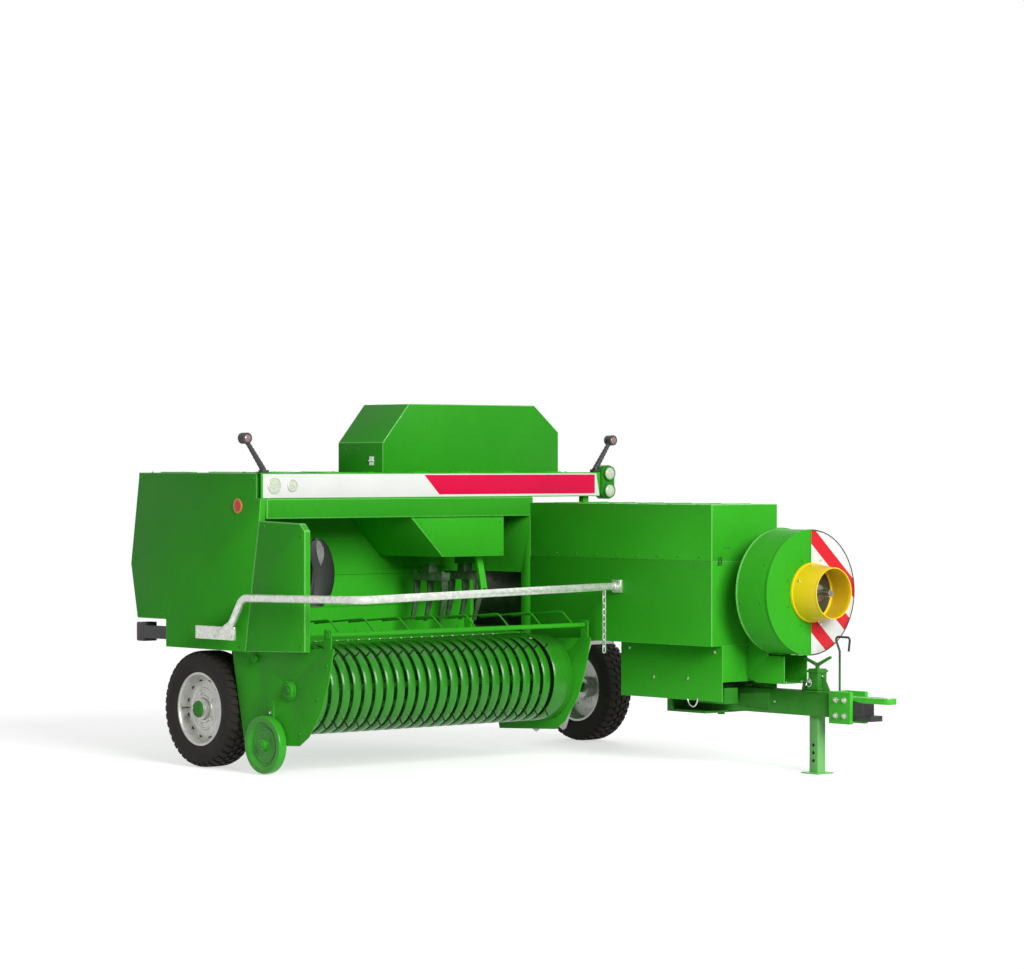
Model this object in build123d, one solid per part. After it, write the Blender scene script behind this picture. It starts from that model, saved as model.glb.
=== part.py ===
from build123d import *
import math
import os

# Driving dimensions of the square baler, in millimetres.
# X runs to the machine's left, Y to its rear, Z up.
# While it is built, zero lies on the drawbar line, above the axle, on the ground.

# Sheet and plate
SHEET = 4.0
PLATE = 6.0
TOUCH = 1.0
MOVE_GAP = 6.0
RUN_FIT = 0.05
SLIDE_FIT = 0.5
SEAM = 0.5

# Bale chamber
BALE_WIDTH = 460.0
BALE_HEIGHT = 360.0
CASE_RIGHT = -358.0
CASE_LEFT = 146.0
CHAMBER_FLOOR_Z = 700.0
CHAMBER_REAR = 1700.0
INLET_FRONT = -500.0
INLET_REAR = -60.0
INLET_TOP = 1040.0
RAIL_FRONT = 620.0
RAIL_WIDTH = 60.0

# Front case and drive cover
CASE_FRONT = -2048.0
CASE_REAR = -580.0
CASE_BOTTOM = 673.0
CASE_SEAM = 1134.0
CASE_TOP = 1438.0
SKIRT_BOTTOM = 371.0
SKIRT_INSET = 80.0
SKIRT_REAR = -1250.0
SKIRT_FRONT_BOTTOM = 478.0

# Header and roof
COVER_RIGHT = -2282.0
HEADER_LEFT = 182.0
HEADER_FRONT = -580.0
HEADER_TOP = 1610.0
STRIP_BOTTOM = 1471.0
BEAM_BOTTOM = 1363.0
BEAM_DEPTH = 90.0
ROOF_REAR = 540.0

# Feeder hood on the roof
HOOD_RIGHT = -1149.0
HOOD_FRONT = -221.0
HOOD_REAR = 181.0
HOOD_BEVEL = 190.0
HOOD_SHOULDER_RIGHT = 1778.0
HOOD_SHOULDER_LEFT = 1842.0
HOOD_TOP = 1998.0

# Feeder trough
TROUGH_FRONT = -490.0
TROUGH_FULL = -430.0
TROUGH_FLOOR_Z = 696.0
TROUGH_BEAM_Z = 650.0
BACK_WALL = 0.0

# Twine box
BOX_FLOOR_Z = 801.0
BOX_INNER = -420.0
COVER_DEPTH = 40.0
DOOR_TOP_Y = 540.0
DOOR_TOP_Z = 1588.0
DOOR_LOW_Y = 618.0
DOOR_LOW_Z = 1104.0
PANEL_LOW_Y = 555.0
PANEL_THICK = 12.0

# Flywheel and drive input
INPUT_Z = 968.0
COVER_RADIUS = 337.5
COVER_STAND = 165.0
COVER_DEEP = 228.0
COVER_FLANGE = 8.0
GUARD_BASE_RADIUS = 158.0
GUARD_END_RADIUS = 136.0
GUARD_LENGTH = 167.0
FLYWHEEL_RADIUS = 295.0
FLYWHEEL_WIDTH = 90.0
STUB_RADIUS = 17.45
STUB_SHORT = 18.0
SHAFT_RADIUS = 30.0
NECK_RADIUS = 105.0

# Road wheels
WHEEL_RADIUS = 319.0
TYRE_WIDTH = 195.0
TYRE_DEPTH = 118.0
AXLE_RADIUS = 28.0
WHEEL_RIGHT_X = -2185.0
WHEEL_LEFT_X = 605.0
AXLE_BEAM = 90.0

# Pickup
PICKUP_RIGHT = -2236.0
PICKUP_LEFT = -406.0
PICKUP_PIVOT_Y = -480.0
PICKUP_PIVOT_Z = 615.0
PICKUP_PIN = 15.0
REEL_Y = -772.0
REEL_Z = 456.0
BAND_RADIUS = 240.0
BAND_COUNT = 22
BAND_WIDTH = 52.0
BAND_PITCH = 75.0
END_BAND_WIDTH = 147.0
BAND_DEPTH = 10.0
BAND_CROWN = 6.0
BAND_SLOPE = 12.0
BAND_REAR = -530.0
BAND_FOOT = -560.0
PAN_RADIUS = 300.0
PAN_THICK = 4.0
TINE_REACH = 284.0
TINE_BAR_CIRCLE = 150.0
TINE_BAR_SIZE = 26.0
TINE_BARS = 4
TINE_THICK = 6.0

# Windguard
WIND_Y = -1092.0
WIND_Z = 761.0
WIND_RADIUS = 13.0
WIND_FINGERS = 8
WIND_REACH = 520.0

# Gauge wheel
GAUGE_RADIUS = 155.0
GAUGE_WIDTH = 54.0
GAUGE_Y = -610.0
GAUGE_CLEAR = 6.0
GAUGE_PIN = 14.0

# Drawbar and jack
BEAM_LOW = 310.0
BEAM_HIGH = 440.0
BEAM_WIDE = 100.0
BEAM_TAIL = 428.0
BEAM_REACH = 592.0
SWING_BACK = 288.0
SWING_PIN = 20.0
HEAD_LENGTH = 152.0
EYE_REACH = 252.0
EYE_Z = 411.0
EYE_THICK = 30.0
EYE_BORE = 16.5
JACK_BACK = 150.0
JACK_SIZE = 60.0
JACK_TOP = 412.0
JACK_FOOT = 126.0
REST_Z = 562.0

# Guard rail and the chain that hangs from it
RAIL_RADIUS = 21.0
RAIL_X = -2338.0
RAIL_FRONT_Z = 981.0
CHAIN_X = -470.0
CHAIN_Y = -1318.0
LINK_LONG = 46.0
LINK_WIDE = 24.0
LINK_WIRE = 6.0
LINK_SLACK = 0.2
LINK_COUNT = 10

# Front lamps, centre heights of the two lenses
LAMP_LOW = 1503.0
LAMP_HIGH = 1603.0

# Rear chute
CHUTE_LENGTH = 600.0
CHUTE_DROP = 8.0
CHUTE_PIN = 8.0

# Measuring star wheel
STAR_Y = 440.0
STAR_RADIUS = 150.0
STAR_PIN = 10.0

# Knotters above and needles below the chamber, with the rod that joins them outside the left wall
KNOTTER_Y = 40.0
CAM_RADIUS = 121.0
ROD_X = 154.0
CRANK_Y = -40.0
CRANK_Z = 1190.0
ARM_Y = -640.0
ARM_Z = 790.0
NEEDLE_Y = -700.0
NEEDLE_Z = 640.0
NEEDLE_REACH = 570.0

# Sizes that follow
CENTRE_X = (CASE_RIGHT + CASE_LEFT) / 2
INNER_RIGHT = CENTRE_X - BALE_WIDTH / 2
INNER_LEFT = CENTRE_X + BALE_WIDTH / 2
CHAMBER_TOP_Z = CHAMBER_FLOOR_Z + BALE_HEIGHT
ROOF_UNDER = HEADER_TOP - SHEET
STAR_Z = CHAMBER_TOP_Z + 60.0
KNOTTER_Z = CHAMBER_TOP_Z + 190.0
COVER_BACK = CASE_FRONT - COVER_STAND
COVER_FRONT = COVER_BACK - COVER_DEEP
GUARD_END = COVER_FRONT - GUARD_LENGTH
STUB_END = GUARD_END + STUB_SHORT
BEAM_FRONT = CASE_FRONT - BEAM_REACH
BEAM_REAR = CASE_FRONT + BEAM_TAIL
SWING_Y = CASE_FRONT + SWING_BACK
HEAD_FRONT = BEAM_FRONT - HEAD_LENGTH
EYE_TIP = HEAD_FRONT - EYE_REACH
JACK_Y = BEAM_FRONT + JACK_BACK
RIM_RADIUS = WHEEL_RADIUS - TYRE_DEPTH
GAUGE_Z = GAUGE_RADIUS + GAUGE_CLEAR
GAUGE_X = PICKUP_RIGHT - MOVE_GAP - PLATE - GAUGE_WIDTH / 2
CHUTE_Y = CHAMBER_REAR + 14.0
CHUTE_Z = CHAMBER_FLOOR_Z - 18.0

# Outline of a pickup end plate, as (y, z)
END_PLATE = [
    (-262, 651), (-375, 144), (-850, 165), (-930, 215), (-1035, 350), (-1100, 510), (-1144, 691),
]
# Rear edge of the side cover's lower part, over the wheel
SKIRT_EDGE = 285.0
# Seam between the side cover and the guard ahead of it, upwards as (y, z)
COVER_SEAM = [(-440, 650), (-497, 978), (-564, 1354)]
# Outline of the right side cover, as (y, z)
SIDE_COVER = COVER_SEAM + [
    (-576, 1471), (-540, 1471), (-540, 1610), (540, 1610), (540, 1588), (618, 1104),
    (555, 801), (SKIRT_EDGE, 801), (SKIRT_EDGE, 650),
]
# Outline of the guard ahead of the side cover, as (y, z)
DRIVE_GUARD = COVER_SEAM + [(-917, 1343), (-957, 1306), (-957, 666)]


def block(x, y, z):
    """A box from three (low, high) spans."""
    size = [span[1] - span[0] for span in (x, y, z)]
    middle = [(span[1] + span[0]) / 2 for span in (x, y, z)]
    return Pos(*middle) * Box(*size)


def side_plate(points, x, thick):
    """A plate cut to a (y, z) outline, from x towards the left."""
    flat = Plane(origin=(x, 0, 0), x_dir=(0, 1, 0), z_dir=(1, 0, 0))
    return extrude(flat * make_face(Polyline(*points, close=True)), thick)


def face_plate(points, y, thick):
    """A plate cut to an (x, z) outline, from y towards the rear."""
    flat = Plane(origin=(0, y, 0), x_dir=(1, 0, 0), z_dir=(0, -1, 0))
    return extrude(flat * make_face(Polyline(*points, close=True)), -thick)


def rod_x(y, z, radius, x):
    """A round bar along X over the span x."""
    return Pos((x[0] + x[1]) / 2, y, z) * Rot(0, 90, 0) * Cylinder(radius, x[1] - x[0])


def rod_y(x, z, radius, y):
    """A round bar along Y over the span y."""
    return Pos(x, (y[0] + y[1]) / 2, z) * Rot(90, 0, 0) * Cylinder(radius, y[1] - y[0])


def rod_z(x, y, radius, z):
    """A round bar along Z over the span z."""
    return Pos(x, y, (z[0] + z[1]) / 2) * Cylinder(radius, z[1] - z[0])


def rod_between(start, end, radius):
    """A round bar from one point to another."""
    run = Vector(*end) - Vector(*start)
    return Plane(origin=start, z_dir=run) * Pos(0, 0, run.length / 2) * Cylinder(radius, run.length)


def turned_x(points, y, z):
    """A body of revolution about an axis along X, from (x, radius) points."""
    flat = Plane(origin=(0, y, z), x_dir=(1, 0, 0), z_dir=(0, -1, 0))
    return revolve(flat * make_face(Polyline(*points, close=True)), Axis((0, y, z), (1, 0, 0)), 360)


def turned_y(points, x, z):
    """A body of revolution about an axis along Y, from (y, radius) points."""
    flat = Plane(origin=(x, 0, z), x_dir=(0, 1, 0), z_dir=(1, 0, 0))
    return revolve(flat * make_face(Polyline(*points, close=True)), Axis((x, 0, z), (0, 1, 0)), 360)


def tray(points, x, depth, wall):
    """A side panel with a turned-in rim: outline (y, z), outer face at x, opening to the left."""
    flat = Plane(origin=(x, 0, 0), x_dir=(0, 1, 0), z_dir=(1, 0, 0))
    outline = make_face(Polyline(*points, close=True))
    inside = offset(outline, amount=-wall, kind=Kind.INTERSECTION)
    return extrude(flat * outline, depth) - Pos(wall, 0, 0) * extrude(flat * inside, depth)


def bent_bar(points, bends, radius):
    """A round bar along straight runs joined by tangent arcs."""
    path = FilletPolyline(*points, radius=bends)
    start = Plane(origin=path @ 0, z_dir=path % 0)
    return sweep(start * Circle(radius), path=path)


# Chamber and front case


def chamber_wall(inner, outer):
    """One lengthwise wall with three outside ribs and a rear post."""
    side = 1 if outer > inner else -1
    skin = sorted((inner, inner + side * PLATE))
    rib = sorted((inner + side * PLATE, outer))
    wall = block(skin, (CASE_REAR, CHAMBER_REAR), (CHAMBER_FLOOR_Z - PLATE, CHAMBER_TOP_Z + PLATE))
    for z in (CHAMBER_FLOOR_Z, (CHAMBER_FLOOR_Z + CHAMBER_TOP_Z) / 2, CHAMBER_TOP_Z - 40):
        wall += block(rib, (-40, CHAMBER_REAR), (z, z + 40))
    for y in (BACK_WALL, CHAMBER_REAR - 50):
        wall += block(rib, (y, y + 50), (CHAMBER_FLOOR_Z - PLATE, CHAMBER_TOP_Z + PLATE))
    return wall


def chamber_right():
    wall = chamber_wall(INNER_RIGHT, CASE_RIGHT)
    skin = (INNER_RIGHT - PLATE, INNER_RIGHT)
    wall += block(skin, (CASE_REAR, BACK_WALL), (CHAMBER_TOP_Z, BEAM_BOTTOM))
    frame = (CASE_RIGHT, INNER_RIGHT - PLATE)
    wall += block(frame, (CASE_REAR, BACK_WALL), (CHAMBER_FLOOR_Z - PLATE, BEAM_BOTTOM))
    inlet = block(
        (CASE_RIGHT - 1, INNER_RIGHT + 1), (INLET_FRONT, INLET_REAR), (CHAMBER_FLOOR_Z + 2, INLET_TOP)
    )
    return wall - inlet


def chamber_floor():
    floor = block((INNER_RIGHT, INNER_LEFT), (CASE_REAR, CHAMBER_REAR),
        (CHAMBER_FLOOR_Z - PLATE, CHAMBER_FLOOR_Z))
    for x in (CENTRE_X - 150, CENTRE_X + 110):
        floor += block((x, x + 40), (CASE_REAR, CHAMBER_REAR),
            (CHAMBER_FLOOR_Z - 40, CHAMBER_FLOOR_Z - PLATE))
    floor += rod_x(CHUTE_Y, CHUTE_Z, CHUTE_PIN, (INNER_RIGHT, INNER_LEFT))
    for x in (INNER_RIGHT, INNER_LEFT - 10):
        floor += block((x, x + 10), (CHAMBER_REAR - 60, CHUTE_Y + 12),
            (CHUTE_Z - 12, CHAMBER_FLOOR_Z - PLATE))
    return floor


def chamber_top():
    """The roof sheet of the chamber, with the cheeks and pin of the star wheel over its slot."""
    top = block((INNER_RIGHT, INNER_LEFT), (CASE_REAR, RAIL_FRONT), (CHAMBER_TOP_Z, CHAMBER_TOP_Z + PLATE))
    slot_x = (CENTRE_X - 12, CENTRE_X + 12)
    slot_y = (STAR_Y - STAR_RADIUS, STAR_Y + STAR_RADIUS)
    top -= block(slot_x, slot_y, (CHAMBER_TOP_Z - 1, CHAMBER_TOP_Z + PLATE + 1))
    top += rod_x(STAR_Y, STAR_Z, STAR_PIN, (CENTRE_X - 40, CENTRE_X + 40))
    for x in (CENTRE_X - 40, CENTRE_X + 30):
        top += block((x, x + 10), (STAR_Y - 30, STAR_Y + 30), (CHAMBER_TOP_Z, STAR_Z + 20))
    return top


def tension_rails():
    """Three lengthwise pressing rails on the rear of the chamber."""
    rails = []
    for x in (INNER_RIGHT + 8, CENTRE_X - RAIL_WIDTH / 2, INNER_LEFT - 8 - RAIL_WIDTH):
        span = (x, x + RAIL_WIDTH)
        rail = block(span, (RAIL_FRONT, CHAMBER_REAR), (CHAMBER_TOP_Z, CHAMBER_TOP_Z + 50))
        rail -= block(
            (x + PLATE, x + RAIL_WIDTH - PLATE),
            (RAIL_FRONT - 1, CHAMBER_REAR + 1),
            (CHAMBER_TOP_Z + PLATE, CHAMBER_TOP_Z + 51),
        )
        rails.append(rail)
    return rails


def tension_frames():
    """Two cross frames that squeeze the rails, with their screws and springs."""
    parts = []
    for y in (1180.0, 1560.0):
        top = block((CASE_RIGHT - 50, CASE_LEFT + 50), (y, y + 60), (CHAMBER_TOP_Z + 50, CHAMBER_TOP_Z + 110))
        low = block((CASE_RIGHT - 50, CASE_LEFT + 50), (y, y + 60),
            (CHAMBER_FLOOR_Z - 100, CHAMBER_FLOOR_Z - 40))
        frame = top + low
        for x in (CASE_RIGHT - 28, CASE_LEFT + 28):
            frame += rod_z(x, y + 30, 11, (CHAMBER_FLOOR_Z - 120, CHAMBER_TOP_Z + 330))
            frame += rod_z(x, y + 30, 24, (CHAMBER_TOP_Z + 110, CHAMBER_TOP_Z + 260))
            frame += block((x - 10, x + 10), (y - 60, y + 120), (CHAMBER_TOP_Z + 330, CHAMBER_TOP_Z + 345))
        parts.append(frame)
    return parts


def front_case():
    """The plunger case behind the flywheel, open to the chamber."""
    case = block((CASE_RIGHT, CASE_LEFT), (CASE_FRONT, CASE_REAR), (CASE_BOTTOM, CASE_SEAM))
    hollow = block(
        (CASE_RIGHT + SHEET, CASE_LEFT - SHEET),
        (CASE_FRONT + SHEET, CASE_REAR + 1),
        (CASE_BOTTOM + SHEET, CASE_SEAM + 1),
    )
    return case - hollow


def drive_cover():
    """The cover over the gearbox and crank, open below."""
    cover = block((CASE_RIGHT, CASE_LEFT), (CASE_FRONT, CASE_REAR - TOUCH), (CASE_SEAM, CASE_TOP))
    hollow = block(
        (CASE_RIGHT + SHEET, CASE_LEFT - SHEET),
        (CASE_FRONT + SHEET, CASE_REAR - SHEET - TOUCH),
        (CASE_SEAM - 1, CASE_TOP - SHEET),
    )
    return cover - hollow


def lower_skirt():
    """The inset skirt below the case, open below, behind and over the drawbar."""
    right = CASE_RIGHT + SKIRT_INSET
    skirt = block((right, right + SHEET), (CASE_FRONT, SKIRT_REAR), (SKIRT_BOTTOM, CASE_BOTTOM))
    skirt += block((CASE_LEFT - SHEET, CASE_LEFT), (CASE_FRONT, SKIRT_REAR), (SKIRT_BOTTOM, CASE_BOTTOM))
    skirt += block((right, CASE_LEFT), (CASE_FRONT, CASE_FRONT + SHEET), (SKIRT_FRONT_BOTTOM, CASE_BOTTOM))
    skirt += block((right, CASE_LEFT), (SKIRT_REAR - SHEET, SKIRT_REAR), (SKIRT_FRONT_BOTTOM, CASE_BOTTOM))
    return skirt


def gearbox():
    """The main gearbox as one plain block, with the neck that carries the flywheel."""
    body = block((-150, 130), (CASE_FRONT + SHEET, CASE_FRONT + 420), (CASE_BOTTOM + SHEET, 1180))
    neck = turned_y(
        [(CASE_FRONT, SHAFT_RADIUS + RUN_FIT), (CASE_FRONT, 150), (CASE_FRONT - 25, 150),
         (CASE_FRONT - 35, NECK_RADIUS), (COVER_BACK - 20, NECK_RADIUS),
         (COVER_BACK - 20, SHAFT_RADIUS + RUN_FIT)],
        0, INPUT_Z,
    )
    return [body, neck]


def plunger():
    """The plunger head ahead of the feeder inlet: a face plate and two side cheeks."""
    z = (CHAMBER_FLOOR_Z, CHAMBER_TOP_Z - 5)
    x = (INNER_RIGHT + 5, INNER_LEFT - 5)
    head = block(x, (INLET_FRONT - 50, INLET_FRONT - 20), z)
    for low in (x[0], x[1] - 20):
        head += block((low, low + 20), (INLET_FRONT - 420, INLET_FRONT - 50), z)
    return head


# Flywheel, its cover and the yellow guard


def flywheel_cover():
    """A drum with a front disc and a back disc, which stands proud of it as a flange."""
    drum = turned_y(
        [(COVER_FRONT, GUARD_BASE_RADIUS - 10), (COVER_FRONT, COVER_RADIUS),
        (COVER_BACK - SHEET, COVER_RADIUS),
         (COVER_BACK - SHEET, COVER_RADIUS + COVER_FLANGE), (COVER_BACK, COVER_RADIUS + COVER_FLANGE),
         (COVER_BACK, NECK_RADIUS), (COVER_BACK - SHEET, NECK_RADIUS),
         (COVER_BACK - SHEET, COVER_RADIUS - SHEET), (COVER_FRONT + SHEET, COVER_RADIUS - SHEET),
         (COVER_FRONT + SHEET, GUARD_BASE_RADIUS - 10)],
        0, INPUT_Z,
    )
    return drum


def cover_pedestal():
    """Two gussets under the flywheel cover, joined by a foot plate."""
    top = INPUT_Z - COVER_RADIUS - COVER_FLANGE - TOUCH
    toe = COVER_FRONT + 111
    outline = [
        (CASE_FRONT, CASE_BOTTOM + 40), (CASE_FRONT, 500), (CASE_FRONT - 70, 474), (toe, 474),
        (toe, top), (COVER_BACK + 5, top), (COVER_BACK + 5, CASE_BOTTOM + 40),
    ]
    pedestal = side_plate(outline, -90, PLATE) + side_plate(outline, 84, PLATE)
    pedestal += block((-90, 90), (toe, CASE_FRONT - 70), (474, 474 + PLATE))
    return pedestal


def striped_board():
    """The half disc that carries the warning stripes."""
    board = turned_y(
        [(COVER_FRONT - 2, GUARD_BASE_RADIUS + 2), (COVER_FRONT - 2, COVER_RADIUS - 4),
         (COVER_FRONT, COVER_RADIUS - 4), (COVER_FRONT, GUARD_BASE_RADIUS + 2)],
        0, INPUT_Z,
    )
    return board & block((0, COVER_RADIUS), (COVER_FRONT - 3, COVER_FRONT + 1), (0, 2 * INPUT_Z))


def input_guard():
    """The open yellow cone around the input stub."""
    return turned_y(
        [(COVER_FRONT, GUARD_BASE_RADIUS - 12), (COVER_FRONT, GUARD_BASE_RADIUS),
        (GUARD_END, GUARD_END_RADIUS),
         (GUARD_END, GUARD_END_RADIUS - SHEET), (COVER_FRONT - 10, GUARD_BASE_RADIUS - SHEET - 1),
         (COVER_FRONT - 10, GUARD_BASE_RADIUS - 12)],
        0, INPUT_Z,
    )


def flywheel():
    """The heavy rimmed wheel on its shaft, with the input stub ahead of it."""
    middle = (COVER_FRONT + COVER_BACK) / 2
    front = middle - FLYWHEEL_WIDTH / 2
    rear = middle + FLYWHEEL_WIDTH / 2
    wheel = turned_y(
        [(STUB_END, 0), (STUB_END, STUB_RADIUS - 2), (STUB_END + 2, STUB_RADIUS),
         (COVER_FRONT - 59, STUB_RADIUS), (COVER_FRONT - 59, 42), (COVER_FRONT + 41, 42),
         (COVER_FRONT + 41, 70), (front, 70), (front + 30, 80), (front + 30, 240),
         (front, 245), (front, FLYWHEEL_RADIUS), (rear, FLYWHEEL_RADIUS), (rear, 245), (rear - 30, 240),
         (rear - 30, 80), (rear, 70), (rear, SHAFT_RADIUS), (CASE_FRONT, SHAFT_RADIUS), (CASE_FRONT, 0)],
        0, INPUT_Z,
    )
    return wheel


# Header, roof and hood


def header_strip():
    """The painted strip across the front, a folded sheet."""
    span = (COVER_RIGHT, HEADER_LEFT)
    strip = block(span, (HEADER_FRONT, HEADER_FRONT + SHEET), (STRIP_BOTTOM, HEADER_TOP))
    strip += block(span, (HEADER_FRONT, HEADER_FRONT + 40), (HEADER_TOP - SHEET, HEADER_TOP))
    strip += block(span, (HEADER_FRONT, HEADER_FRONT + 40), (STRIP_BOTTOM, STRIP_BOTTOM + SHEET))
    return strip


def header_beam():
    """The square beam under the strip that carries the feeder roof."""
    return block(
        (COVER_RIGHT + COVER_DEPTH, INNER_RIGHT), (HEADER_FRONT, HEADER_FRONT + BEAM_DEPTH),
        (BEAM_BOTTOM, STRIP_BOTTOM)
    )


def roof():
    """The roof sheet with turned-down edges, and the stands that carry it."""
    right = COVER_RIGHT + COVER_DEPTH
    top = block((right, HEADER_LEFT), (HEADER_FRONT + 40, ROOF_REAR), (ROOF_UNDER, HEADER_TOP))
    top += block((HEADER_LEFT - SHEET, HEADER_LEFT), (HEADER_FRONT + 40, ROOF_REAR),
        (STRIP_BOTTOM, ROOF_UNDER))
    top += block((CASE_RIGHT, HEADER_LEFT), (ROOF_REAR - SHEET, ROOF_REAR), (STRIP_BOTTOM, ROOF_UNDER))
    post_z = (CHAMBER_TOP_Z + PLATE, ROOF_UNDER)
    for x in (INNER_LEFT - 34, INNER_RIGHT - PLATE):
        top += block((x, x + 40), (ROOF_REAR - 50, ROOF_REAR - 10), post_z)
    top += block((INNER_LEFT - 34, INNER_LEFT + 6), (HEADER_FRONT + 40, HEADER_FRONT + 80), post_z)
    for x in (COVER_RIGHT + COVER_DEPTH, BOX_INNER + SHEET):
        hanger_y = (DOOR_TOP_Y - 24, DOOR_TOP_Y)
        top += block((x, x + MOVE_GAP - TOUCH), hanger_y, (DOOR_TOP_Z - 32, ROOF_UNDER))
    return top


def feeder_hood():
    """The bevelled hood over the feeder drive."""
    outline = [
        (HOOD_RIGHT, HEADER_TOP), (HOOD_RIGHT, HOOD_SHOULDER_RIGHT), (HOOD_RIGHT + HOOD_BEVEL, HOOD_TOP),
        (HEADER_LEFT - HOOD_BEVEL, HOOD_TOP), (HEADER_LEFT, HOOD_SHOULDER_LEFT), (HEADER_LEFT, HEADER_TOP),
    ]
    hood = face_plate(outline, HOOD_FRONT, HOOD_REAR - HOOD_FRONT)
    return offset(hood, amount=-SHEET, openings=hood.faces().sort_by(Axis.Z)[:1], kind=Kind.INTERSECTION)


# Feeder trough


def trough():
    """Floor and back wall of the feeder trough, with the brackets that the pickup swings on."""
    right = COVER_RIGHT + COVER_DEPTH
    under = TROUGH_FLOOR_Z - PLATE
    front_x = (PICKUP_RIGHT + PLATE + MOVE_GAP, CASE_RIGHT)
    floor = block(front_x, (TROUGH_FRONT, TROUGH_FULL), (under, TROUGH_FLOOR_Z))
    floor += block((right, CASE_RIGHT), (TROUGH_FULL, BACK_WALL), (under, TROUGH_FLOOR_Z))
    floor += block((right, CASE_RIGHT), (-60, BACK_WALL), (TROUGH_BEAM_Z, under))
    floor += block((right, CASE_RIGHT), (BACK_WALL, BACK_WALL + SHEET), (TROUGH_BEAM_Z, ROOF_UNDER))
    for plate_left in (PICKUP_RIGHT + PLATE, PICKUP_LEFT):
        near = plate_left + MOVE_GAP
        web_y = (PICKUP_PIVOT_Y - 10, PICKUP_PIVOT_Y + 60)
        floor += block((near, near + 10), web_y, (PICKUP_PIVOT_Z - 30, under))
        floor += rod_x(PICKUP_PIVOT_Y, PICKUP_PIVOT_Z, 30, (near, near + 10))
        floor += rod_x(PICKUP_PIVOT_Y, PICKUP_PIVOT_Z, PICKUP_PIN, (plate_left - PLATE - 8, near))
    return floor


def feeder_housing():
    """The slanted housing of the feeder drive that hangs under the roof."""
    outline = [(-1226, BEAM_BOTTOM), (-994, 1138), (-541, 1138), (-541, BEAM_BOTTOM)]
    front = HEADER_FRONT + 20
    housing = face_plate(outline, front, BACK_WALL - front)
    top = housing.faces().sort_by(Axis.Z)[-1:]
    return offset(housing, amount=-SHEET, openings=top, kind=Kind.INTERSECTION)


def feeder_forks():
    """Two forks that sweep the crop along the trough, hung from the feeder housing."""
    forks = []
    for x in (-900.0, -640.0):
        arm = block((x, x + 60), (-330, -270), (1000, 1138))
        for y in (-420, -300, -180):
            tine = [(x + 10, 1040), (x + 60, 1040), (x + 50, 900), (x + 5, 770), (x - 12, 770), (x + 16, 900)]
            arm += face_plate(tine, y - 8, 16)
        arm += block((x, x + 60), (-440, -160), (1000, 1045))
        forks.append(arm)
    return forks + [outer_fork()]


def outer_fork():
    """The curved fork near the right end of the trough, on its own shaft from the back wall."""
    fork = rod_y(-1800, 1180, 18, (-420, BACK_WALL))
    back = ThreePointArc((-1822, 1245), (-1765, 1060), (-1850, 880))
    front = ThreePointArc((-1862, 1215), (-1815, 1060), (-1880, 900))
    blade = make_face([back, front, Line(back @ 0, front @ 0), Line(back @ 1, front @ 1)])
    flat = Plane(origin=(0, -430, 0), x_dir=(1, 0, 0), z_dir=(0, -1, 0))
    return fork + extrude(flat * blade, -24)


# Side cover, guard and twine box


def side_cover():
    return tray(SIDE_COVER, COVER_RIGHT, COVER_DEPTH, SHEET)


def drive_guard():
    """The guard ahead of the side cover, closed towards the trough by its own inner sheet."""
    guard = tray(DRIVE_GUARD, COVER_RIGHT, COVER_DEPTH, SHEET)
    return guard + side_plate(DRIVE_GUARD, COVER_RIGHT + COVER_DEPTH - SHEET, SHEET)


def twine_box():
    """Floor, inner end and fixed lower rear panel of the twine box, three sheets with seams between them."""
    right = COVER_RIGHT + COVER_DEPTH
    wall_y = BACK_WALL + SHEET
    left = BOX_INNER - SEAM
    panel_y = PANEL_LOW_Y - PANEL_THICK
    floor = block((right, left), (wall_y, panel_y - SEAM), (BOX_FLOOR_Z, BOX_FLOOR_Z + SHEET))
    end_outline = [
        (wall_y, BOX_FLOOR_Z), (wall_y, ROOF_UNDER), (DOOR_TOP_Y - 25, ROOF_UNDER),
        (DOOR_TOP_Y - 25, DOOR_TOP_Z - 20),
        (DOOR_LOW_Y - PANEL_THICK, DOOR_LOW_Z), (PANEL_LOW_Y, BOX_FLOOR_Z),
    ]
    end = side_plate(end_outline, BOX_INNER, SHEET)
    panel_outline = [
        (PANEL_LOW_Y, BOX_FLOOR_Z), (DOOR_LOW_Y - 2, DOOR_LOW_Z - MOVE_GAP),
        (DOOR_LOW_Y - PANEL_THICK, DOOR_LOW_Z - MOVE_GAP), (panel_y, BOX_FLOOR_Z),
    ]
    panel = side_plate(panel_outline, right, left - right)
    return [floor, end, panel]


def twine_door():
    """The hinged upper rear panel of the twine box."""
    right = COVER_RIGHT + COVER_DEPTH + MOVE_GAP
    left = BOX_INNER + SHEET
    outline = [
        (DOOR_TOP_Y - 8, DOOR_TOP_Z - 22), (DOOR_TOP_Y, DOOR_TOP_Z - 22), (DOOR_LOW_Y, DOOR_LOW_Z),
        (DOOR_LOW_Y - 8, DOOR_LOW_Z),
    ]
    door = side_plate(outline, right, left - right)
    door += rod_x(DOOR_TOP_Y - 4, DOOR_TOP_Z - 20, 7, (right, left))
    return door


# Running gear


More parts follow.
